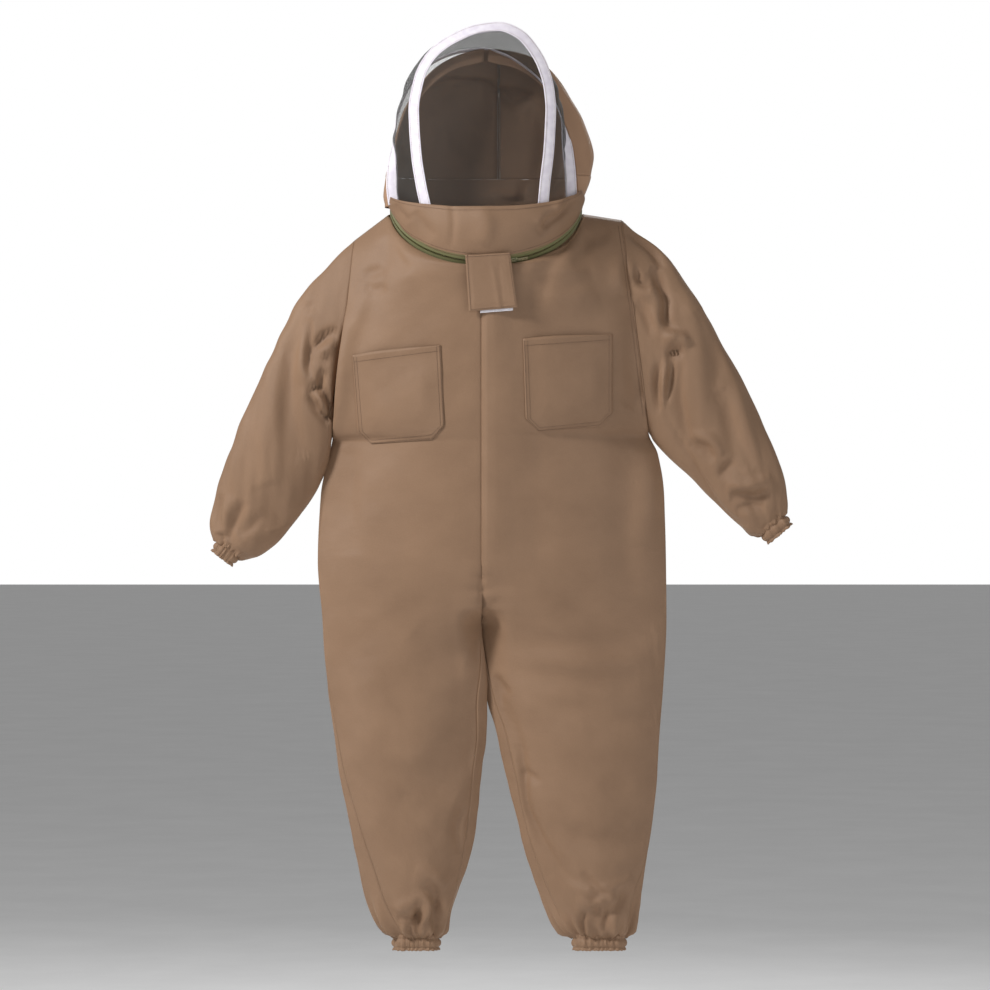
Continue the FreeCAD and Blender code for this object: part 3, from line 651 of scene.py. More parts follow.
def top_edge(side, x, back):
    """The body's upper edge: round the zip at the front, or the nape, then the shoulder."""
    sign = SIDES[side]
    corner = neck_point(sign * NECK_R * math.sin(NECK_ANGLE))
    tip = np.array([ARMHOLE[side][0][0], 0, ARMHOLE[side][0][1]]) * MM
    if back:
        t = np.clip(np.abs(x) / abs(corner[0]), 0, 1)[..., None]
        round_neck = NAPE * (1 - t**2) + corner * t**2
        across = np.sqrt(np.clip(1 - t[..., 0] ** 2, 0, 1))
        round_neck[..., 1] = corner[1] + (NAPE[1] - corner[1]) * across
    else:
        round_neck = neck_point(np.where(np.abs(x) < abs(corner[0]), x, corner[0]))
    round_neck[..., 0] = x
    t = np.clip((np.abs(x) - abs(corner[0])) / (abs(tip[0]) - abs(corner[0])), 0, 1)[..., None]
    shoulder = corner * (1 - t) + tip * t
    return np.where((np.abs(x) < abs(corner[0]))[..., None], round_neck, shoulder)


MORPH = 200 * MM
NAPE = np.array([0, 79.5, 18]) * MM


def body_panel(side, back):
    """A front or back panel from shoulder to ankle, as a grid."""
    keys = np.linspace(0, HEM_Z, int(-HEM_Z * MM / STEP) + 1)[:, None]
    k = np.linspace(0, 1, 64 if not back else 72)[None]
    outer, inner = seam_angle(side, keys, 0), seam_angle(side, keys, 1)
    psi = (2 * math.pi + inner) * k + outer * (1 - k) if back else inner * (1 - k) + outer * k
    p = leg_row(side, keys + 0 * k, psi)
    if back:
        share = (1 - step_up(-keys, -CROTCH, -CROTCH + 50)) * (1 + np.cos(psi)) / 2
        p[..., 0] += SIDES[side] * (0.4 - through(INNER[side], keys)) * share * MM
    row = p[0]
    share = np.clip(-keys * MM / MORPH, 0, 1)
    p = p + (1 - share[..., None]) ** 2 * (top_edge(side, row[:, 0], back) - row)[None]
    return p, keys, psi


def fly_lift(side, x, z):
    """How far the front stands off near the centre line, where the fly covers the zip."""
    if side == "left":
        rows = [(-8, 6.2), (-3, 8.6), (2, 10.6), (14, 10.8), (34, 8.6), (60, 4.6), (110, 0), (400, 0)]
    else:
        rows = [(-400, 0), (-110, 0), (-60, 1.2), (-14, 3.0), (-7, 2.2), (-2, 0), (2, 0)]
    low = step_up(z / MM, -745, -695) * step_up(-z / MM, 108, 150)
    return through(rows, x / MM) * low * MM


def centre_seam(x, z):
    """The front centre seam between the fly and the crotch: a groove with puckers beside it."""
    near = np.exp(-(((x / MM + 8) / 7) ** 2))
    zone = step_up(-z / MM, 705, 725) * (1 - step_up(-z / MM, 765, 800))
    pucker = 1.5 * np.sin(z / MM / 4.2) * np.exp(-(((x / MM + 8) / 22) ** 2))
    return (pucker - 3.0 * near) * zone * MM


BODY_STROKES = {
    "left": [
        (4, 14, 26, [(92, -160), (120, -172), (160, -178), (215, -160)]),
        (-5, 12, 20, [(170, -30), (150, -75), (120, -130), (96, -200)]),
        (-4, 10, 16, [(205, -45), (188, -85), (182, -125)]),
        (-3.5, 10, 18, [(243, -40), (215, -60), (192, -64)]),
        (5, 10, 14, [(262, -90), (258, -130), (272, -170)]),
        (6, 12, 16, [(320, -232), (309, -280), (318, -325), (330, -350)]),
        (-7, 10, 22, [(306, -245), (300, -300), (304, -345), (285, -395)]),
        (-5, 8, 14, [(326, -300), (331, -335), (332, -385)]),
        (-4, 18, 34, [(262, -430), (282, -520), (276, -640), (284, -760)]),
        (4, 16, 30, [(318, -470), (322, -560), (316, -660)]),
        (-5.5, 22, 32, [(10, -765), (64, -815), (118, -852), (225, -852), (335, -840)]),
        (3.5, 20, 24, [(60, -880), (140, -886), (240, -892), (330, -880)]),
        (-4.5, 18, 24, [(46, -905), (127, -912), (222, -922), (300, -915)]),
        (-5.5, 5, 12, [(18, -915), (34, -938), (48, -952)]),
        (-5.5, 20, 26, [(88, -976), (190, -986), (250, -1008), (336, -1004)]),
        (-8, 9, 20, [
            (14, -935), (46, -1001), (68, -1079), (74, -1158),
            (103, -1226), (148, -1292), (205, -1330),
        ]),
        (6, 8, 16, [(32, -960), (58, -1060), (60, -1150), (86, -1222), (128, -1300)]),
        (-5, 18, 26, [(122, -1210), (216, -1236), (310, -1246)]),
        (-4, 5, 10, [(66, -1102), (86, -1108), (106, -1122)]),
        (-4.5, 5, 9, [(190, -1296), (214, -1326), (242, -1352)]),
        (4, 8, 12, [(150, -1320), (200, -1334), (262, -1322), (288, -1310)]),
        (-6, 6, 10, [(282, -1330), (262, -1366), (232, -1396)]),
        (-5, 6, 10, [(208, -1350), (222, -1380), (224, -1404)]),
        (7, 5, 9, [(176, -1350), (206, -1362), (236, -1348), (262, -1356)]),
        (-7, 4, 7, [(196, -1376), (190, -1400), (196, -1422)]),
        (-6, 4, 7, [(240, -1372), (236, -1398), (226, -1422)]),
    ],
    "right": [
        (9, 14, 30, [
            (-232, -150), (-248, -205), (-270, -258), (-279, -317),
            (-283, -365), (-296, -420), (-300, -455),
        ]),
        (-5, 10, 22, [(-190, -52), (-176, -92), (-150, -128)]),
        (-4, 7, 12, [(-240, -132), (-222, -124), (-198, -118)]),
        (-3.5, 6, 10, [(-236, -150), (-216, -160), (-196, -150)]),
        (-4, 16, 30, [(-262, -470), (-268, -560), (-262, -680)]),
        (4, 22, 34, [(-236, -880), (-214, -960), (-186, -1060), (-160, -1150)]),
        (-4.5, 18, 26, [(-236, -930), (-204, -991), (-170, -1090), (-112, -1126), (-58, -1152)]),
        (-4, 20, 26, [(-140, -830), (-90, -870), (-40, -880)]),
        (5, 12, 18, [(-140, -1292), (-108, -1304), (-74, -1330)]),
        (-6, 7, 10, [(-116, -1316), (-96, -1344), (-96, -1376)]),
        (7, 5, 9, [(-150, -1352), (-132, -1344), (-112, -1362), (-116, -1400)]),
        (-7, 4, 7, [(-138, -1362), (-128, -1392), (-136, -1420)]),
        (6, 8, 12, [(-178, -1376), (-156, -1360), (-128, -1366)]),
        (-7, 7, 10, [(-174, -1388), (-152, -1392), (-130, -1382)]),
        (-7, 5, 9, [(-152, -1424), (-140, -1396), (-124, -1376)]),
        (-6, 5, 8, [(-126, -1424), (-106, -1388), (-92, -1350)]),
        (-4, 6, 12, [(-40, -1170), (-56, -1215), (-48, -1262)]),
    ],
}


BACK_STROKES = {
    "left": [
        (-5, 12, 22, [(60, -120), (150, -160), (240, -150)]),
        (-6, 10, 20, [(250, -300), (262, -380), (240, -440)]),
        (-5, 20, 28, [(60, -830), (180, -850), (320, -830)]),
        (-5, 18, 26, [(70, -1000), (180, -1030), (310, -1010)]),
        (-5, 10, 20, [(60, -1120), (100, -1200), (150, -1290)]),
        (5, 10, 18, [(250, -1180), (270, -1280), (240, -1360)]),
    ],
    "right": [
        (-5, 12, 22, [(-70, -130), (-160, -170), (-240, -170)]),
        (-6, 10, 20, [(-240, -300), (-252, -390), (-230, -450)]),
        (-5, 20, 28, [(-50, -840), (-170, -860), (-300, -840)]),
        (-5, 18, 26, [(-40, -1010), (-150, -1040), (-280, -1010)]),
        (-5, 10, 20, [(-40, -1130), (-70, -1210), (-110, -1290)]),
        (5, 10, 18, [(-210, -1180), (-220, -1280), (-180, -1360)]),
    ],
}


def make_body():
    """Front and back panels of both halves; returns each piece with its grid."""
    made = {}
    for side, sign in SIDES.items():
        for back in (False, True):
            half = "back" if back else "front"
            way = 1 if back else -1
            p, keys, psi = body_panel(side, back)
            if not back:
                p[..., 1] -= fly_lift(side, p[..., 0], p[..., 2])
                p[..., 1] -= centre_seam(p[..., 0], p[..., 2])
            normal, flip = facing(p, np.array([0, way, 0]))
            uv = grid_uv(p)
            seed = 11 + 2 * sign + back
            quiet = step_up(-keys, 20, 160) * (1 - 0.7 * step_up(-keys, 1395, -HEM_Z))
            soft = waves(uv[..., 0] * 1.3, uv[..., 1], seed, 0.2, 1.8 * MM)
            soft = soft + waves(uv[..., 0], uv[..., 1] * 1.4, seed + 40, 0.075, 0.45 * MM)
            middle = np.where(keys > CROTCH, step_up(np.abs(p[..., 0]), 0.01, 0.06), 1)
            k = np.linspace(0, 1, p.shape[1])[None]
            held = step_up(k, 0, 0.06) * step_up(1 - k, 0, 0.06)
            p = p + normal * (soft * quiet * middle * held)[..., None]
            edge = (keys - HEM_Z) * MM
            folds = gathers(psi, edge, 60 + sign, 19, 17 * MM, 0.13)
            p = p + normal * gather_height(folds, edge)[..., None]
            strokes = BACK_STROKES[side] if back else BODY_STROKES[side]
            p = fold(p, normal, strokes, step_up(way * normal[..., 1], 0.1, 0.5) * held)
            obj = sheet_mesh(f"{half}_{side}", p, BROWN, flip=flip)
            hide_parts(f"{half}_panel_{side}", f"lower_leg_{half}_{side}")
            made[f"{half}_{side}"] = (obj, p)
    return made


# ------------------------------------------------------------- sleeves

# upper edge x and z, lower edge x and z, half depth
SLEEVE = {
    "left": [
        (267, -20, 321, -440, 49), (355, -92, 354, -478, 49), (440, -218, 405, -528, 48),
        (505, -336, 452, -580, 46), (562, -462, 498, -622, 40), (588, -556, 523, -640, 26),
        (583, -604, 543, -638, 14),
    ],
    "right": [
        (-259, -60, -303, -450, 49), (-335, -136, -318, -515, 49), (-410, -255, -345, -572, 48),
        (-472, -395, -380, -618, 46), (-522, -520, -420, -660, 40), (-539, -612, -461, -683, 26),
        (-524, -654, -490, -680, 14),
    ],
}
SLEEVE_STROKES = {
    "left": [
        (8, 8, 14, [
            (276, -92), (286, -128), (304, -156), (326, -160),
            (344, -184), (338, -214), (356, -240), (370, -256),
        ]),
        (-12, 7, 13, [(330, -112), (345, -150), (352, -186), (352, -214), (368, -242)]),
        (-9, 5, 9, [(292, -120), (304, -146), (322, -150)]),
        (-8, 5, 10, [(274, -39), (301, -57), (333, -84), (347, -116)]),
        (-6, 6, 10, [(296, -176), (314, -206), (330, -246)]),
        (10, 8, 12, [(346, -262), (364, -250), (384, -254), (390, -272)]),
        (-9, 5, 8, [(352, -284), (372, -280), (388, -284)]),
        (-8, 5, 9, [(343, -299), (337, -344), (338, -400)]),
        (6, 6, 9, [(354, -296), (348, -340), (346, -390)]),
        (-7, 5, 9, [(368, -290), (360, -344), (350, -384)]),
        (-7, 6, 14, [(384, -292), (382, -357), (390, -415), (402, -469)]),
        (-6, 16, 28, [(412, -200), (434, -262), (450, -322), (446, -380)]),
        (5, 18, 30, [(384, -160), (412, -250), (420, -340), (418, -430)]),
        (-8, 10, 20, [(462, -350), (478, -395), (498, -460), (518, -510)]),
        (-8, 7, 12, [(398, -456), (431, -467), (447, -494)]),
        (6, 8, 14, [(404, -440), (440, -452), (462, -484)]),
        (-6, 7, 12, [(456, -526), (470, -506), (488, -494)]),
        (-9, 8, 12, [(478, -560), (525, -564), (556, -552)]),
        (7, 9, 14, [(470, -540), (510, -540), (560, -528)]),
        (-6, 6, 10, [(488, -590), (520, -582), (548, -584)]),
        (-3.5, 4, 5, [(345, -392), (386, -460), (431, -540), (476, -599), (515, -622)]),
    ],
    "right": [
        (-11, 16, 7, [(-238, -150), (-252, -205), (-276, -258), (-286, -317), (-290, -365), (-303, -420)]),
        (-8, 14, 24, [(-345, -180), (-366, -250), (-386, -330), (-378, -420), (-352, -490)]),
        (8, 9, 14, [(-342, -196), (-352, -250), (-360, -300), (-354, -340)]),
        (-9, 5, 9, [(-344, -212), (-346, -259), (-348, -307), (-340, -330)]),
        (-9, 5, 10, [(-344, -282), (-322, -252), (-292, -236)]),
        (6, 8, 10, [(-334, -300), (-314, -276), (-296, -262)]),
        (-5, 5, 8, [(-346, -297), (-327, -290), (-306, -295)]),
        (-9, 5, 8, [(-352, -356), (-329, -348), (-320, -316)]),
        (-8, 5, 8, [(-325, -344), (-308, -378), (-302, -415)]),
        (-9, 5, 9, [(-350, -362), (-324, -394), (-304, -420)]),
        (6, 6, 9, [(-338, -352), (-318, -384), (-306, -408)]),
        (5, 18, 30, [(-402, -280), (-418, -360), (-426, -450), (-420, -540)]),
        (-5, 16, 26, [(-436, -540), (-420, -590), (-410, -625)]),
        (-6, 8, 14, [(-520, -560), (-526, -596), (-522, -630)]),
        (-7, 8, 14, [(-474, -572), (-496, -620), (-508, -652)]),
        (5, 10, 16, [(-490, -566), (-510, -606), (-516, -640)]),
        (-5, 8, 14, [(-440, -600), (-462, -626), (-486, -640)]),
    ],
}
SLEEVE_BLEND = 120 * MM
SLEEVE_GAIN = 1.05
# rows tucked in at the armhole: share of its ring, and depth
TUCK = [(0.9, 12), (0.94, 8), (0.97, 4)]


def sleeve_grid(side):
    """The sleeve's own grid: rows from the armhole to the cuff, columns round it."""
    stations = SLEEVE[side]
    k = np.linspace(0, 1, 112)[:, None]
    rows = [(i / (len(stations) - 1), *s) for i, s in enumerate(stations)]
    values = through(rows, k[:, 0])
    turn = np.linspace(0, 2 * math.pi, 120, endpoint=False)[None]
    share = (1 - np.cos(turn)) / 2
    ux, uz, lx, lz, depth = (values[:, i][:, None] for i in range(5))
    y = -depth * np.sin(turn)
    p = np.stack([lx + (ux - lx) * share, y, lz + (uz - lz) * share], axis=-1) * MM
    middle = p[0].mean(0)
    inward = unit(middle - p[6].mean(0))
    tuck = [middle + (p[0] - middle) * squeeze + inward * deep * MM for squeeze, deep in TUCK]
    k = np.concatenate([np.zeros((len(TUCK), 1)), k])
    return np.concatenate([tuck, p]), k, turn


def make_sleeves():
    """Both sleeves, open at the cuff and tucked in at the armhole."""
    made = {}
    for side, sign in SIDES.items():
        p, k, turn = sleeve_grid(side)
        normal, flip = facing(p, from_middle(p), wrap=True)
        along = np.cumsum(np.linalg.norm(np.diff(p, axis=0, prepend=p[:1]), axis=2), axis=0)
        free = step_up(k, 0.0, 0.06)
        total = along[-1].mean()
        soft = waves(turn * 0.09, along, 21 + sign, 0.17, 2.2 * MM)
        soft = soft + waves(turn * 0.09, along, 71 + sign, 0.06, 0.6 * MM)
        to_cuff = total * (1 - k) + 0 * turn
        p = p + normal * (soft * free * step_up(to_cuff, 0, 0.05))[..., None]
        folds = gathers(turn, to_cuff, 31 + sign, 15, 12 * MM, 0.1)
        p = p + normal * gather_height(folds, to_cuff)[..., None]
        strokes = SLEEVE_STROKES[side]
        p = fold(p, normal, strokes, step_up(-normal[..., 1], 0.05, 0.45) * SLEEVE_GAIN)
        back = [(h, a, b, [(x - 8, z - 6) for x, z in pts]) for h, a, b, pts in strokes[6::3]]
        p = fold(p, normal, back, step_up(normal[..., 1], 0.05, 0.45))
        obj = sheet_mesh(f"sleeve_cloth_{side}", p, BROWN, wrap=True, flip=flip)
        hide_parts(f"sleeve_{side}")
        made[side] = (obj, p)
    return made


def sleeve_blend_points(side):
    """Where the sleeve leaves the torso and where it follows the sleeve's own body."""
    (x0, z0), (x1, z1) = ARMHOLE[side]
    start = np.array([(x0 + x1) / 2, 0, (z0 + z1) / 2]) * MM
    out = unit([z0 - z1, 0, -(x0 - x1)]) * SIDES[side]
    out = out if out[0] * SIDES[side] > 0 else -out
    return start, start + out * SLEEVE_BLEND


# ------------------------------------------------------- elastic hems

# centre, way out, length and width of each hem's ring
HEMS = {
    "cuff_left": ((563.5, 0, -621), (0.638, 0, -0.769), 55.3, 32),
    "cuff_right": ((-507, 0, -667), (-0.607, 0, -0.794), 44.8, 32),
    "hem_left": ((222.5, 0, -1432.5), (0, 0, -1), 99, 34),
    "hem_right": ((-137, 0, -1432.5), (0, 0, -1), 84, 34),
}
HEM_POINTS = 240
# down each hem: level, swell, share of the wide ripple and share of the fine one
HEM_ROWS = [
    (-9, 0.0, 0.9, 0), (-5, 0.4, 0.9, 0), (-2.5, 0.6, 0.7, 0), (-0.5, 0.5, 0.25, 0.1),
    (1.5, 1.4, 0.4, 0.15), (4.5, 2.6, 0.6, 0.2), (8, 3.2, 0.65, 0.2), (12, 2.8, 0.6, 0.25),
    (15, 1.6, 0.4, 0.3), (16.6, 0.5, 0.2, 0.2), (18, 0.8, 0.3, 0.35), (20, 1.3, 0.35, 0.55),
    (22.5, 1.4, 0.35, 0.7), (23.5, 0.8, 0.35, 0.7),
]


def stadium(length, width):
    """Points round a stadium, even along its edge, from the +X end."""
    r = width / 2
    flat = length / 2 - r
    arc = math.pi * r
    keys = np.cumsum([0, arc / 2, 2 * flat, arc, 2 * flat, arc / 2])
    s = np.linspace(0, keys[-1], HEM_POINTS, endpoint=False)
    turn = np.interp(s, keys, np.array([0, 1, 1, 3, 3, 4]) * math.pi / 2)
    middle = np.interp(s, keys, [flat, flat, -flat, -flat, flat, flat])
    return middle + r * np.cos(turn), r * np.sin(turn), np.cos(turn), np.sin(turn)


def make_hem(name, node, body, seed, count):
    """A gathered casing: a puffed band, a pinched stitch line and a ruffled edge."""
    centre, out, length, width = (np.array(q, float) for q in HEMS[name])
    out = unit(out)
    side = np.array([-out[2], 0, out[0]])
    a, y, na, ny = stadium(length, width)
    angle = np.linspace(0, 2 * math.pi, HEM_POINTS, endpoint=False)
    ripple = gathers(angle, np.zeros_like(angle), seed, count, 5.2, 1.0)
    ripple = ripple - ripple.min() + 0.5 * np.sin(angle * 47 + seed)
    fine = gathers(angle, np.zeros_like(angle), seed + 9, int(count * 1.5), 3.4, 1.0)
    fine = fine - fine.min()
    grid = []
    for level, swell, wide, thin in HEM_ROWS:
        push = swell + wide * ripple + thin * fine
        reach = level + (0.35 * (fine - 3) if level > 20 else 0)
        x, depth = a + na * push, y + ny * push
        point = centre + np.outer(x, side) + np.outer(depth, [0, 1, 0]) + np.outer(reach + 0 * x, out)
        grid.append(point * MM)
    grid = np.array(grid)
    _, flip = facing(grid, from_middle(grid), wrap=True)
    obj = sheet_mesh(name, grid, BROWN, wrap=True, flip=flip)
    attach(obj, body)
    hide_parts(node)
    return obj


# --------------------------------------------------------------- pockets

POCKET = {
    "right": [(-261, -288), (-88, -268), (-80, -452), (-250, -462)],
    "left": [(72, -258), (248, -245), (248, -426), (78, -438)],
}
POCKET_CUT = 26
POCKET_GRID = 44
POCKET_STITCH, POCKET_HEM = (2.2, 8.2), 13


def pocket_grid(side, tree):
    """A patch pocket on the front: a grid whose lower corners are cut off."""
    (ax, az), (bx, bz), (cx, cz), (dx, dz) = POCKET[side]
    v, u = np.meshgrid(*[np.linspace(0, 1, POCKET_GRID)] * 2, indexing="ij")
    cut = POCKET_CUT / (az - dz)
    low = np.clip((v - (1 - cut)) / cut, 0, 1)
    squeeze = low * POCKET_CUT / (bx - ax)
    w = squeeze + u * (1 - 2 * squeeze)
    top = np.stack([ax + (bx - ax) * w, az + (bz - az) * w], -1)
    bottom = np.stack([dx + (cx - dx) * w, dz + (cz - dz) * w], -1)
    flat = top * (1 - v[..., None]) + bottom * v[..., None]
    flat[..., 1] += 2.0 * np.sin(w * math.pi * 1.3 + 0.4) * (v < 0.01)
    points, _ = on_front(tree, flat.reshape(-1, 2) * MM)
    edge = np.minimum.reduce([w, 1 - w, 1 - v]) * 170
    rise = 1.9 + 3.4 * step_up(edge, 4, 45) * (1 - 0.3 * v)
    mouth = np.exp(-((v / 0.07) ** 2)) * np.sin(np.clip(w, 0, 1) * math.pi) ** 0.5
    rise = rise + 3.6 * mouth + waves(w * 0.17, v * 0.18, 5, 0.09, 0.5)
    p = points.reshape(*w.shape, 3)
    p[..., 1] -= rise * MM
    return p


def pocket_line(side, inset):
    """The stitching line of a pocket, inset from its edge, from one top corner to the other."""
    (ax, az), (bx, bz), (cx, cz), (dx, dz) = POCKET[side]
    c, i, ends = POCKET_CUT, inset, 3
    left = [(ax + i, az - ends), (dx + i, dz + c), (dx + c, dz + i)]
    right = [(cx - c, cz + i), (cx - i, cz + c), (bx - i, bz - ends)]
    return left + right


def polyline_stitches(tree, corners):
    """Stitches along straight runs between (x, z) corners."""
    parts = []
    for a, b in zip(corners[:-1], corners[1:]):
        mid = ((a[0] + b[0]) / 2, (a[1] + b[1]) / 2)
        parts += front_stitches(tree, [a, mid, b])
    return parts


def make_pockets(body):
    """The two chest pockets and their stitching."""
    for side in SIDES:
        panel = body[f"front_{side}"][0]
        obj = sheet_mesh(f"pocket_{side}", pocket_grid(side, surface_of(panel)), BROWN, flip=True)
        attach(obj, TORSO)
        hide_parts(f"chest_pocket_{side}")
        (ax, az), (bx, bz), _, (_, dz) = POCKET[side]
        tree = surface_of(obj)
        parts = []
        for inset in POCKET_STITCH:
            parts += polyline_stitches(tree, pocket_line(side, inset))
        middle = ((ax + bx) / 2, (az + bz) / 2 - POCKET_HEM)
        parts += front_stitches(tree, [(ax + 3, az - POCKET_HEM), middle, (bx - 3, bz - POCKET_HEM)])
        sew(f"pocket_stitching_{side}", parts, TORSO)


# ------------------------------------------------------- fly and flap


def make_fly(body):
    """The facing behind the front's free edge, between it and the zip."""
    p = body["front_left"][1]
    top, bottom, width, row = -130 * MM, -698 * MM, 36 * MM, 50
    rows = (p[:, 0, 2] < top) & (p[:, 0, 2] > bottom)
    strip = p[rows][:, : np.searchsorted(p[row, :, 0], width)]
    strip = strip + np.array([0, 1.5 * MM, 0])
    obj = sheet_mesh("fly_facing", strip, BROWN_INSIDE_PAINTED_LIGHT)
    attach(obj, TORSO)
    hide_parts("front_fly")


FLAP = [(-40, -97), (47, -92), (61, -198), (-33, -206)]
FLAP_Y, FLAP_TOP, FLAP_LEAN = -159, -94, math.radians(4.6)


def flap_point(x, z, off):
    """A point on the flap, off millimetres behind its front face."""
    down = FLAP_TOP - z
    y = FLAP_Y + down * math.sin(FLAP_LEAN) + off * math.cos(FLAP_LEAN)
    z = FLAP_TOP - down * math.cos(FLAP_LEAN) + off * math.sin(FLAP_LEAN)
    return np.stack([x, y, z], -1) * MM


def quad_grid(corners, n, m):
    """(x, z) points over four corners: top left, top right, bottom right, bottom left."""
    a, b, c, d = (np.array(q, float) for q in corners)
    v, u = np.meshgrid(np.linspace(0, 1, n), np.linspace(0, 1, m), indexing="ij")
    v, u = v[..., None], u[..., None]
    return (a * (1 - u) + b * u) * (1 - v) + (d * (1 - u) + c * u) * v


def make_flap():
    """The throat flap, its stitching, and the hook and loop tapes under it."""
    flat = quad_grid(FLAP, 40, 34)
    x, z = flat[..., 0], flat[..., 1]
    v, u = np.meshgrid(np.linspace(0, 1, 40), np.linspace(0, 1, 34), indexing="ij")
    edge = np.minimum.reduce([u, 1 - u, 1 - v])
    shape = 1.0 * step_up(edge, 0, 0.09) - 0.9 * np.exp(-(((edge - 0.075) / 0.02) ** 2))
    crease = 1.1 * np.exp(-(((u - 0.56 - 0.08 * v) / 0.05) ** 2))
    crease = crease - 0.9 * np.exp(-(((u - 0.72) / 0.04) ** 2))
    curl = 2.0 * np.exp(-(((u - 1.0) / 0.12) ** 2)) * v - 1.2 * np.exp(-((u / 0.1) ** 2)) * v
    off = 0.9 - shape - crease * step_up(v, 0.05, 0.4) - curl
    p = flap_point(x, z, off)
    obj = sheet_mesh("flap_cloth", p, BROWN, thickness=2.0 * MM, flip=True)
    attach(obj, "flap")
    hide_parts("throat_flap")
    tree = surface_of(obj)
    (ax, az), (bx, bz), (cx, cz), (dx, dz) = FLAP
    i = 4.0
    line = [(ax + i, az), (dx + i, dz + i), (cx - i, cz + i), (bx - i, bz)]
    parts = polyline_stitches(tree, line)
    parts += polyline_stitches(tree, [(ax + 1, az - 3.5), (bx - 1, bz - 3.5)])
    sew("flap_stitching", parts, "flap")
    for node, corners, off, body in (
        ("flap_hook_tape", [(-12, -184), (51, -180), (52.5, -204), (-11, -209)], 3.2, "flap"),
        ("flap_loop_tape", [(-16, -150), (50, -146), (54, -196), (-12, -201)], 4.7, TORSO),
    ):
        flat = quad_grid(corners, 22, 44)
        bumps = RANDOM.uniform(-0.18, 0.18, flat.shape[:2])
        p = flap_point(flat[..., 0], flat[..., 1], off + bumps)
        tape = sheet_mesh(f"{node}_pile", p, FUZZ, thickness=1.1 * MM, flip=True)
        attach(tape, body)
        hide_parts(node)


# --------------------------------------------------------------- collar


COLLAR_STROKES = [
    (-2.6, 3.5, 6, [(-66, 4), (-62, -30), (-64, -62), (-68, -84)]),
    (-7, 5, 9, [(172, 20), (152, -10), (122, -36), (104, -58)]),
    (6, 7, 10, [(158, 16), (134, -14), (100, -40)]),
    (-6, 5, 9, [(140, -8), (120, -28), (112, -44)]),
    (-4, 8, 12, [(-140, -10), (-120, -40), (-100, -62)]),
    (3.5, 12, 18, [(-10, -4), (4, -40), (-4, -80)]),
    (-4, 6, 10, [(-176, 8), (-168, -12), (-150, -30)]),
]
COLLAR_TOP = [(-80, 22), (-60, 12), (-36, 3), (-15, -2), (0, -2), (15, -1), (36, 6), (60, 20), (80, 36)]


def make_collar():
    """The collar band between the upper zip and the veil."""
    degrees = np.linspace(-80, 80, 110)[None]
    angle = np.radians(degrees)
    v = np.linspace(0, 1, 26)[:, None]
    low = ring_point(angle[0], RING_R + 0.8 * MM, 9.0 * MM + 0 * angle[0])
    top_z = through(COLLAR_TOP, degrees[0])
    high = np.stack([190 * np.sin(angle[0]), -44 - 118 * np.cos(angle[0]), top_z], -1) * MM
    p = high[None] * (1 - v[..., None]) + low[None] * v[..., None]
    belly = np.sin(v * math.pi) * (5 + 3 * np.cos(angle))
    p[..., 1] -= belly * MM * np.cos(angle)
    p[..., 0] += belly * MM * np.sin(angle)
    normal, flip = facing(p, np.array([0, -1.0, 0]) * np.cos(angle)[..., None])
    soft = waves(angle * 0.19, v * 0.1, 3, 0.09, 0.8 * MM) * np.sin(v * math.pi)
    p = p + normal * soft[..., None]
    p = fold(p, normal, COLLAR_STROKES)
    obj = sheet_mesh("collar_cloth", p, BROWN, thickness=1.6 * MM, flip=flip)
    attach(obj, HOOD)
    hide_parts("collar_band")
    sew("collar_stitching", stitches(p[2], normal[2]) + stitches(p[-3], normal[-3]), HOOD)


COIL_PITCH = 1.6 * MM


def coil_loops(place, count):
    """Loops of a zip coil; place(i, angle) gives a point of loop i."""
    parts = []
    turn = np.linspace(0, 2 * math.pi, 7)[:-1]
    for i in range(count):
        ring = np.array([place(i, a) for a in np.append(turn, turn[0])])
        parts.append(tube(ring, 0.34 * MM))
    return parts


def make_collar_zip():
    """The two coils of the collar zip."""
    half = math.radians(81.5)
    count = int(2 * half * RING_R / COIL_PITCH)
    for part, sign, body in (("lower", -1, TORSO), ("upper", 1, HOOD)):

        def place(i, a, sign=sign):
            angle = -half + (i + 0.5 * (sign > 0)) * 2 * half / count
            radius = RING_R + 0.85 * MM * math.sin(a)
            n = sign * (1.35 + 0.95 * math.cos(a)) * MM
            lean = 0.25 * MM * math.cos(a) / RING_R
            return ring_point(np.array(angle + lean), np.array(radius), np.array(n))

        coil = joined(f"collar_coil_{part}", coil_loops(place, count), OLIVE_COIL)
        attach(coil, body)
        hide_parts(f"collar_zip_{part}_coil")


# ----------------------------------------------------------------- hood

# each hoop's y at z 0, and its lean
HOOPS = {"front": (-127, 0.09), "rear": (-70, 0.25)}
# the hood's half widths by height: where it leaves the rear hoop, and at its widest
HOOD_FRONT = [
    (10, 182), (20, 181), (60, 178), (110, 171), (160, 158), (205, 138), (243, 110), (270, 76),
    (286, 38), (292, 4), (330, 4),
]
BACK = {
    "left": [
        (10, 186), (24, 192), (66, 207), (100, 211), (130, 207), (180, 191), (225, 166), (262, 140),
        (290, 112), (308, 74), (317, 20),
    ],
    "right": [
        (10, 199), (27, 202), (55, 199), (87, 193), (130, 184), (180, 168), (225, 148), (262, 122),
        (290, 92), (308, 54), (317, 14),
    ],
}
# how far back the hood's centre-back seam lies, by height
BACK_Y = [
    (10, 74), (24, 76), (66, 88), (130, 96), (180, 94), (225, 84), (262, 66), (290, 44),
    (306, 26), (317, 6),
]
BAND_LOW, BAND_TOP, HOOD_TOP = 4, 66, 316
NET_IN = 9 * MM
BIND_W, BIND_T, BIND_SEAM = 22.5, 2.6, 0.74
BIND_TURN = math.radians(24)
BONE_W, BONE_T = 7.0, 0.8


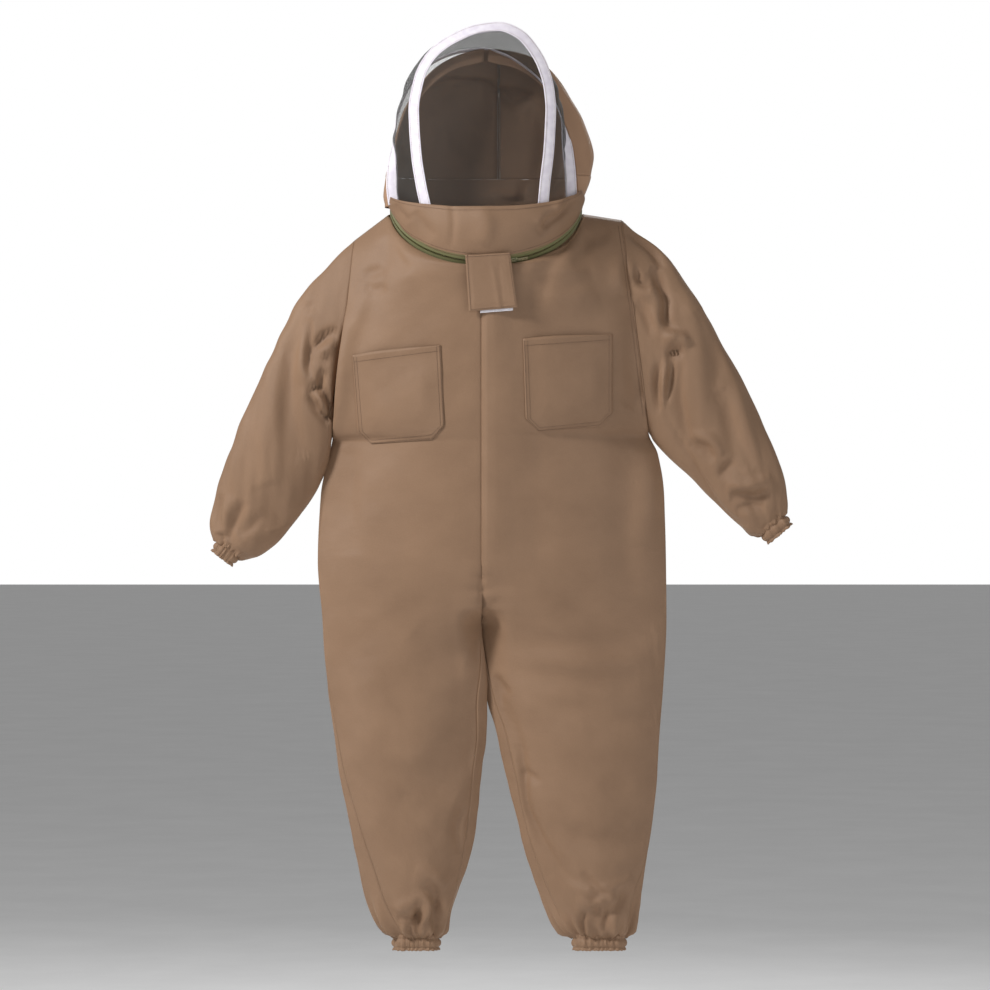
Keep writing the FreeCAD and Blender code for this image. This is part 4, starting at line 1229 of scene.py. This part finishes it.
# the middle of each binding as it really bends, x and z from the wearer's right foot over the top
BENT = {
    "front": [
        (-116, -4), (-127, 47), (-136, 110), (-140, 186), (-131, 246), (-108, 292), (-62, 328), (-12, 347),
        (25, 351), (63, 338), (92, 307), (111, 272), (123, 226), (126, 186), (122, 107), (115, 47), (111, 2),
    ],
    "rear": [
        (-180, 7), (-184, 47), (-182, 107), (-176, 170), (-160, 222), (-136, 262), (-98, 294), (-50, 312),
        (-4, 317), (36, 306), (78, 280), (112, 248), (137, 208), (152, 165), (161, 107), (165, 67), (167, 20),
    ],
}


def hoop_line(which, count=120):
    """Points of a hoop from the right foot over the top to the left foot, in millimetres."""
    y0, lean = HOOPS[which]
    return line_through([(x, y0 + lean * z, z) for x, z in BENT[which]], count)


def hoop_frame(line, lean):
    """Directions along, outwards in the hoop's plane and across it, at each point."""
    along = unit(np.gradient(line, axis=0))
    across = unit(np.array([0, 1.0, -lean]))
    out = unit(np.cross(across, along))
    centre = np.array([0, line[0, 1], 130])
    out = out * np.sign(((line - centre) * out).sum(1).mean())
    return along, out, across


def make_boning(which, line, flat, face):
    """The springy strip inside a binding."""
    corners = [(-BONE_W, -BONE_T), (BONE_W, -BONE_T), (BONE_W, BONE_T), (-BONE_W, BONE_T)]
    inner = slice(2, -2)
    p = np.stack([(line + flat * a / 2 + face * b / 2)[inner] for a, b in corners], axis=1) * MM
    obj = joined(f"{which}_boning", [bar(p)], BONE)
    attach(obj, HOOD)
    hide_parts(f"{which}_hoop")


def make_binding(which):
    """A hoop's white binding: a flat tape folded over the boning, stitched on both edges."""
    line = hoop_line(which, 160)
    along, out, across = hoop_frame(line, HOOPS[which][1])
    turn = np.full((len(line), 1), BIND_TURN)
    if which == "rear":
        low = np.where(line[:, :1] < 0, 55, 100)
        turn = BIND_TURN * 0.5 + math.radians(70) * step_up(line[:, 2:], low, low + 85)
    flat = out * np.cos(turn) + across * np.sin(turn)
    face = unit(np.cross(along, flat))
    face = face * -np.sign(face[:, 1:2].mean())
    w, t = BIND_W / 2, BIND_T / 2
    half = [(-1, 0.25), (-0.97, 0.7), (-0.86, 0.8), (-BIND_SEAM, 0.62), (-0.4, 1.1)]
    profile = half + [(0, 1.25)] + [(-s, h) for s, h in half[::-1]]
    section = [(s * w, h * t) for s, h in profile]
    back = [(s, -h) for s, h in section[::-1]]
    ripple = waves(np.linspace(0, 1.1, len(line)), 0 * line[:, 0], 9, 0.1, 0.5)
    grid = []
    for a, b in section + back:
        grid.append((line + flat * (a + 0.5 * ripple[:, None]) + face * (b + 0.25 * ripple[:, None])) * MM)
    p = np.array(grid).transpose(1, 0, 2)
    verts, faces = bar(p)
    uv = grid_uv(p).reshape(-1, 2)
    obj = new_object(f"{which}_binding", verts, faces, uv, WHITE_TAPE)
    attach(obj, HOOD)
    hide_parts(f"{which}_hoop_binding")
    make_boning(which, line, flat, face)
    parts = []
    for s in (-BIND_SEAM, BIND_SEAM):
        at = (line + flat * s * w + face * 0.62 * t) * MM
        parts += stitches(at, face)
    sew(f"{which}_binding_stitching", parts, HOOD, THREAD_LIGHT)
    return line * MM, flat, face


def open_sheet(name, p, material):
    """A single layer of net over a grid."""
    n, m = p.shape[:2]
    i, j = np.meshgrid(np.arange(n - 1), np.arange(m - 1), indexing="ij")
    a = (i * m + j).ravel()
    faces = np.stack([a, a + 1, a + m + 1, a + m], axis=1)
    return new_object(name, p.reshape(-1, 3), faces, grid_uv(p).reshape(-1, 2), material)


def make_nets(front, rear):
    """The face net inside the front hoop, and the crown net between the hoops."""
    line, flat, _ = front
    count = len(line) // 2
    inner = line - flat * NET_IN
    right, left = inner[:count], inner[::-1][:count]
    u = np.linspace(0, 1, 48)[None, :, None]
    p = right[:, None] * (1 - u) + left[:, None] * u
    bow = 4 * u[..., 0] * (1 - u[..., 0])
    half = np.linalg.norm(left - right, axis=1)[:, None]
    p[..., 1] -= 22 * MM * bow * np.clip(half / 0.2, 0, 1)
    p[..., 1] -= waves(p[..., 0], p[..., 2], 17, 0.12, 1.5 * MM) * bow
    drop = np.clip(1 - (p[..., 2] - p[..., 2].min()) / 0.04, 0, 1)
    p[..., 2] -= 8 * MM * drop
    face = open_sheet("veil_net_face", p, NET)
    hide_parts("veil_face")
    line2, flat2, _ = rear
    v = np.linspace(0, 1, 24)[None, :, None]
    a, b = line + flat * NET_IN, line2 - flat2 * NET_IN
    p = a[:, None] * (1 - v) + b[:, None] * v
    mid = (a + b) / 2
    out = unit(mid * np.array([1, 0, 1]) - np.array([0, 0, 0.13]))
    out[:, 2] = np.maximum(out[:, 2], 0)
    belly = (4 * v * (1 - v))[..., 0]
    s = np.linspace(0, 1.0, len(line))[:, None]
    lift = 11 * MM * belly + waves(s, v[..., 0] * 0.07, 23, 0.06, 2.6 * MM) * belly
    p = p + out[:, None] * lift[..., None]
    crown = open_sheet("veil_net_crown", p, NET_DENSE)
    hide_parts("veil_crown")
    for obj in (face, crown):
        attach(obj, HOOD)


def back_point(side, z, w):
    """The hood back: w is 0 at the rear hoop, 1 at the centre-back seam, z in millimetres."""
    sign = SIDES[side]
    hoop = through(HOOD_FRONT, z)
    back = through(BACK_Y, z)
    y0, lean = HOOPS["rear"]
    y0 = np.minimum(y0 + lean * z + 6, back - 8)
    half = np.maximum(through(BACK[side], z), hoop + 3)
    seam = 25 * step_up(z, 0, BAND_TOP)
    spots = [0, 0.16, 0.34, 0.52, 0.72, 0.88, 1]
    xs = [hoop, hoop + (half - hoop) * 0.85, half, half * 0.93, half * 0.68, half * 0.36, seam * sign]
    ys = [y0 + (back - y0) * share for share in (0, 0.16, 0.42, 0.7, 0.92, 0.99, 1)]
    x = np.array([np.broadcast_to(q, z.shape) for q in xs])
    y = np.array([np.broadcast_to(q, z.shape) for q in ys])
    out = np.zeros((*z.shape, 3))
    for i in range(z.shape[0]):
        for k, values in ((0, x), (1, y)):
            rows = [(s, values[j, i, 0]) for j, s in enumerate(spots)]
            out[i, :, k] = through(rows, w[i])
    out[..., 0] *= sign
    out[..., 2] = z
    return out * MM


HOOD_STROKES = [
    (-9, 7, 14, [(-118, 232), (-70, 262), (-10, 258), (24, 236), (60, 240), (104, 216)]),
    (8, 10, 14, [(-110, 250), (-60, 276), (0, 276), (40, 262), (90, 240)]),
    (-6, 6, 10, [(-104, 214), (-60, 242), (-20, 240)]),
    (-6, 6, 10, [(30, 236), (56, 216), (92, 232)]),
    (-4, 10, 16, [(-90, 180), (-60, 120), (-20, 90)]),
    (-4, 8, 14, [(96, 60), (112, 130), (108, 190)]),
    (-4, 6, 9, [(-62, 60), (-56, 40), (-50, 22)]),
    (-4, 6, 9, [(86, 62), (76, 40), (70, 22)]),
    (5, 8, 10, [(10, 40), (44, 30), (70, 34)]),
    (-5, 5, 8, [(30, 30), (60, 22), (90, 30)]),
]


def make_hood_back():
    """The hood's two cloth halves and the band below them."""
    strokes = [(-h, a, b, pts) for h, a, b, pts in HOOD_STROKES]
    seam = {}
    for side, sign in SIDES.items():
        z, w = np.meshgrid(np.linspace(BAND_TOP + 0.4, HOOD_TOP, 56), np.linspace(0, 1, 60), indexing="ij")
        p = back_point(side, z, w)
        normal, flip = facing(p, np.array([sign, 0, 0]))
        soft = waves(w * 0.25, z * MM, 41 + sign, 0.09, 1.6 * MM) * np.sin(w * math.pi)
        p = p + normal * soft[..., None]
        p = fold(p, normal, strokes, step_up(normal[..., 1], 0.2, 0.6))
        obj = sheet_mesh(f"hood_cloth_{side}", p, BROWN_INSIDE_PAINTED_LIGHT, flip=flip)
        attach(obj, HOOD)
        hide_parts(f"hood_back_{side}")
        seam[side] = p[:, -1]
    z, w = np.meshgrid(np.linspace(BAND_LOW, BAND_TOP, 18), np.linspace(0, 1, 50), indexing="ij")
    band = np.concatenate([back_point("right", z, w)[:, :-1], back_point("left", z, w)[:, ::-1]], axis=1)
    normal, flip = facing(band, np.array([0, 1, 0]))
    band = fold(band, normal, strokes, step_up(normal[..., 1], 0.2, 0.6))
    obj = sheet_mesh("hood_cloth_band", band, BROWN_INSIDE_PAINTED_LIGHT, flip=flip)
    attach(obj, HOOD)
    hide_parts("hood_back_band")
    make_overlock(seam["left"])


def zigzag(line, side, width, pitch):
    """An overlocked edge: thread that runs to and fro across a line."""
    s = np.concatenate([[0], np.cumsum(np.linalg.norm(np.diff(line, axis=0), axis=1))])
    at = np.arange(0, s[-1], pitch)
    points = np.stack([np.interp(at, s, line[:, k]) for k in range(3)], axis=1)
    way = np.where(np.arange(len(at)) % 2 == 0, 1.0, -1.0)[:, None]
    return points + side * width * way


def make_overlock(seam):
    """The light thread over the centre-back seam, inside the hood."""
    line = line_through(seam[::4] + np.array([0, -2.6 * MM, 0]), 200)
    side = np.array([1.0, 0, 0])
    parts = [tube(zigzag(line, side, 2.6 * MM, 1.3 * MM), 0.4 * MM)]
    for off in (-2.4, 2.4):
        parts.append(tube(line + side * off * MM, 0.35 * MM))
    sew("hood_overlock", parts, HOOD, THREAD_LIGHT)


# ------------------------------------------------ hidden and carried pieces


def make_waist():
    """The gathered casing across the inside of the back waist."""
    x = np.linspace(-238, 238, 180)[None]
    v = np.linspace(0, 1, 10)[:, None]
    z = -449 - 38 * v + 0 * x
    y = 54 * (1 - (x / 320) ** 2) - 3.4 + 1.0 * np.sin(x / 3.1) * np.sin(v * math.pi)
    p = np.stack([x + 0 * v, y + 0 * v, z], -1) * MM
    obj = sheet_mesh("waist_casing_cloth", p, BROWN_INSIDE_PAINTED_LIGHT, flip=True)
    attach(obj, TORSO)
    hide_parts("waist_casing")


def carry_over():
    """Materials, and softened edges, for the CAD nodes that are shown as they are."""
    finish = {
        "zip_upper_tape": OLIVE_TAPE, "zip_lower_tape": OLIVE_TAPE, "zip_tape": OLIVE_TAPE,
        "zip_coil": OLIVE_COIL, "bottom_stop": OLIVE_METAL, "slider": OLIVE_METAL,
        "pull": OLIVE_METAL, "elastic": ELASTIC,
    }
    for name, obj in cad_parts.items():
        if obj.hide_render:
            continue
        material = next((m for key, m in finish.items() if key in name), None)
        if material is None:
            raise SystemExit(f"{name} has no finish")
        obj.data.materials.clear()
        obj.data.materials.append(material)
        if "slider" in name or "pull" in name:
            bevel = obj.modifiers.new("edges", "BEVEL")
            bevel.width, bevel.segments, bevel.limit_method = 0.25 * MM, 2, "ANGLE"


# ------------------------------------------------------------ assembly


def make_seam_threads(body):
    """Twin topstitching beside the left armhole."""
    torso = surface_of(body["front_left"][0], body["front_right"][0])
    parts = []
    (x0, z0), (x1, z1) = ARMHOLE["left"]
    edge = [(x0 + (x1 - x0) * t, z0 + (z1 - z0) * t) for t in (0.03, 0.25, 0.5, 0.75, 0.93)]
    for off in (3, 9):
        parts += front_stitches(torso, [(x - off, z) for x, z in edge])
    sew("armhole_stitching", parts, TORSO)


def build():
    """Every visible piece, and the bodies that most of them ride."""
    body = make_body()
    sleeves = make_sleeves()
    make_pockets(body)
    make_fly(body)
    make_flap()
    make_collar()
    make_collar_zip()
    front, rear = make_binding("front"), make_binding("rear")
    make_nets(front, rear)
    make_hood_back()
    make_waist()
    make_seam_threads(body)
    for side in SIDES:
        make_hem(f"cuff_{side}", f"cuff_casing_{side}", f"sleeve_{side}", 5 + SIDES[side], 15)
        make_hem(f"hem_{side}", f"leg_hem_{side}", f"lower_leg_{side}", 15 + SIDES[side], 21)
        for name in ("front", "back"):
            obj = body[f"{name}_{side}"][0]
            start, end = (0, 0, KNEE * MM + KNEE_BLEND), (0, 0, KNEE * MM - KNEE_BLEND)
            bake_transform(obj)
            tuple(start)
            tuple(end)
        obj = sleeves[side][0]
        start, end = sleeve_blend_points(side)
        tuple(start)
        tuple(end)
        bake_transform(obj)
    carry_over()


def make_stage():
    """Camera, white world, three lamps and the floor."""
    scene = bpy.context.scene
    scene.view_settings.view_transform = "Standard"
    cam_data = bpy.data.cameras.new("camera")
    cam = bpy.data.objects.new("camera", cam_data)
    scene.collection.objects.link(cam)
    scene.camera = cam
    distance, field, sensor = 9.0, 1.9305, 36
    cam_data.sensor_width = sensor
    cam_data.lens = sensor * distance / field
    cam.location = (0.0176, -distance - 0.08, -0.5606)
    cam.rotation_euler = (math.pi / 2, 0, 0)
    world = bpy.data.worlds.new("studio")
    scene.world = world
    world.use_nodes = True
    tree = world.node_tree
    sky = tree.nodes["Background"]
    sky.inputs[0].default_value, sky.inputs[1].default_value = (1, 1, 1, 1), 0.3
    seen = tree.nodes.new("ShaderNodeBackground")
    seen.inputs[0].default_value, seen.inputs[1].default_value = (1, 1, 1, 1), 1.0
    ray = tree.nodes.new("ShaderNodeLightPath")
    mix = tree.nodes.new("ShaderNodeMixShader")
    tree.links.new(ray.outputs["Is Camera Ray"], mix.inputs[0])
    tree.links.new(sky.outputs[0], mix.inputs[1])
    tree.links.new(seen.outputs[0], mix.inputs[2])
    tree.links.new(mix.outputs[0], tree.nodes["World Output"].inputs[0])
    for name, place, size, power in (
        ("key", (-3.4, -2.3, 2.1), 0.9, 208),
        ("fill", (2.8, -2.8, -0.2), 2.4, 34),
        ("back", (0.5, 3.0, 1.6), 2.0, 50),
    ):
        data = bpy.data.lights.new(name, "AREA")
        data.size, data.energy = size, power
        lamp = bpy.data.objects.new(name, data)
        lamp.location = place
        aim = Vector((0, 0, -0.5)) - Vector(place)
        lamp.rotation_euler = aim.to_track_quat("-Z", "Y").to_euler()
        scene.collection.objects.link(lamp)
    reach, level = 60, -1.9
    corners = [(x * reach, y * reach, level) for x, y in ((-1, -1), (1, -1), (1, 1), (-1, 1))]
    finish = solid_finish("floor", colour("F6F6F6"), colour("F1F1F1"), 0.8, scale=3.0)
    floor = new_object("floor", corners, [(0, 1, 2, 3)], None, finish)


make_stage()
build()
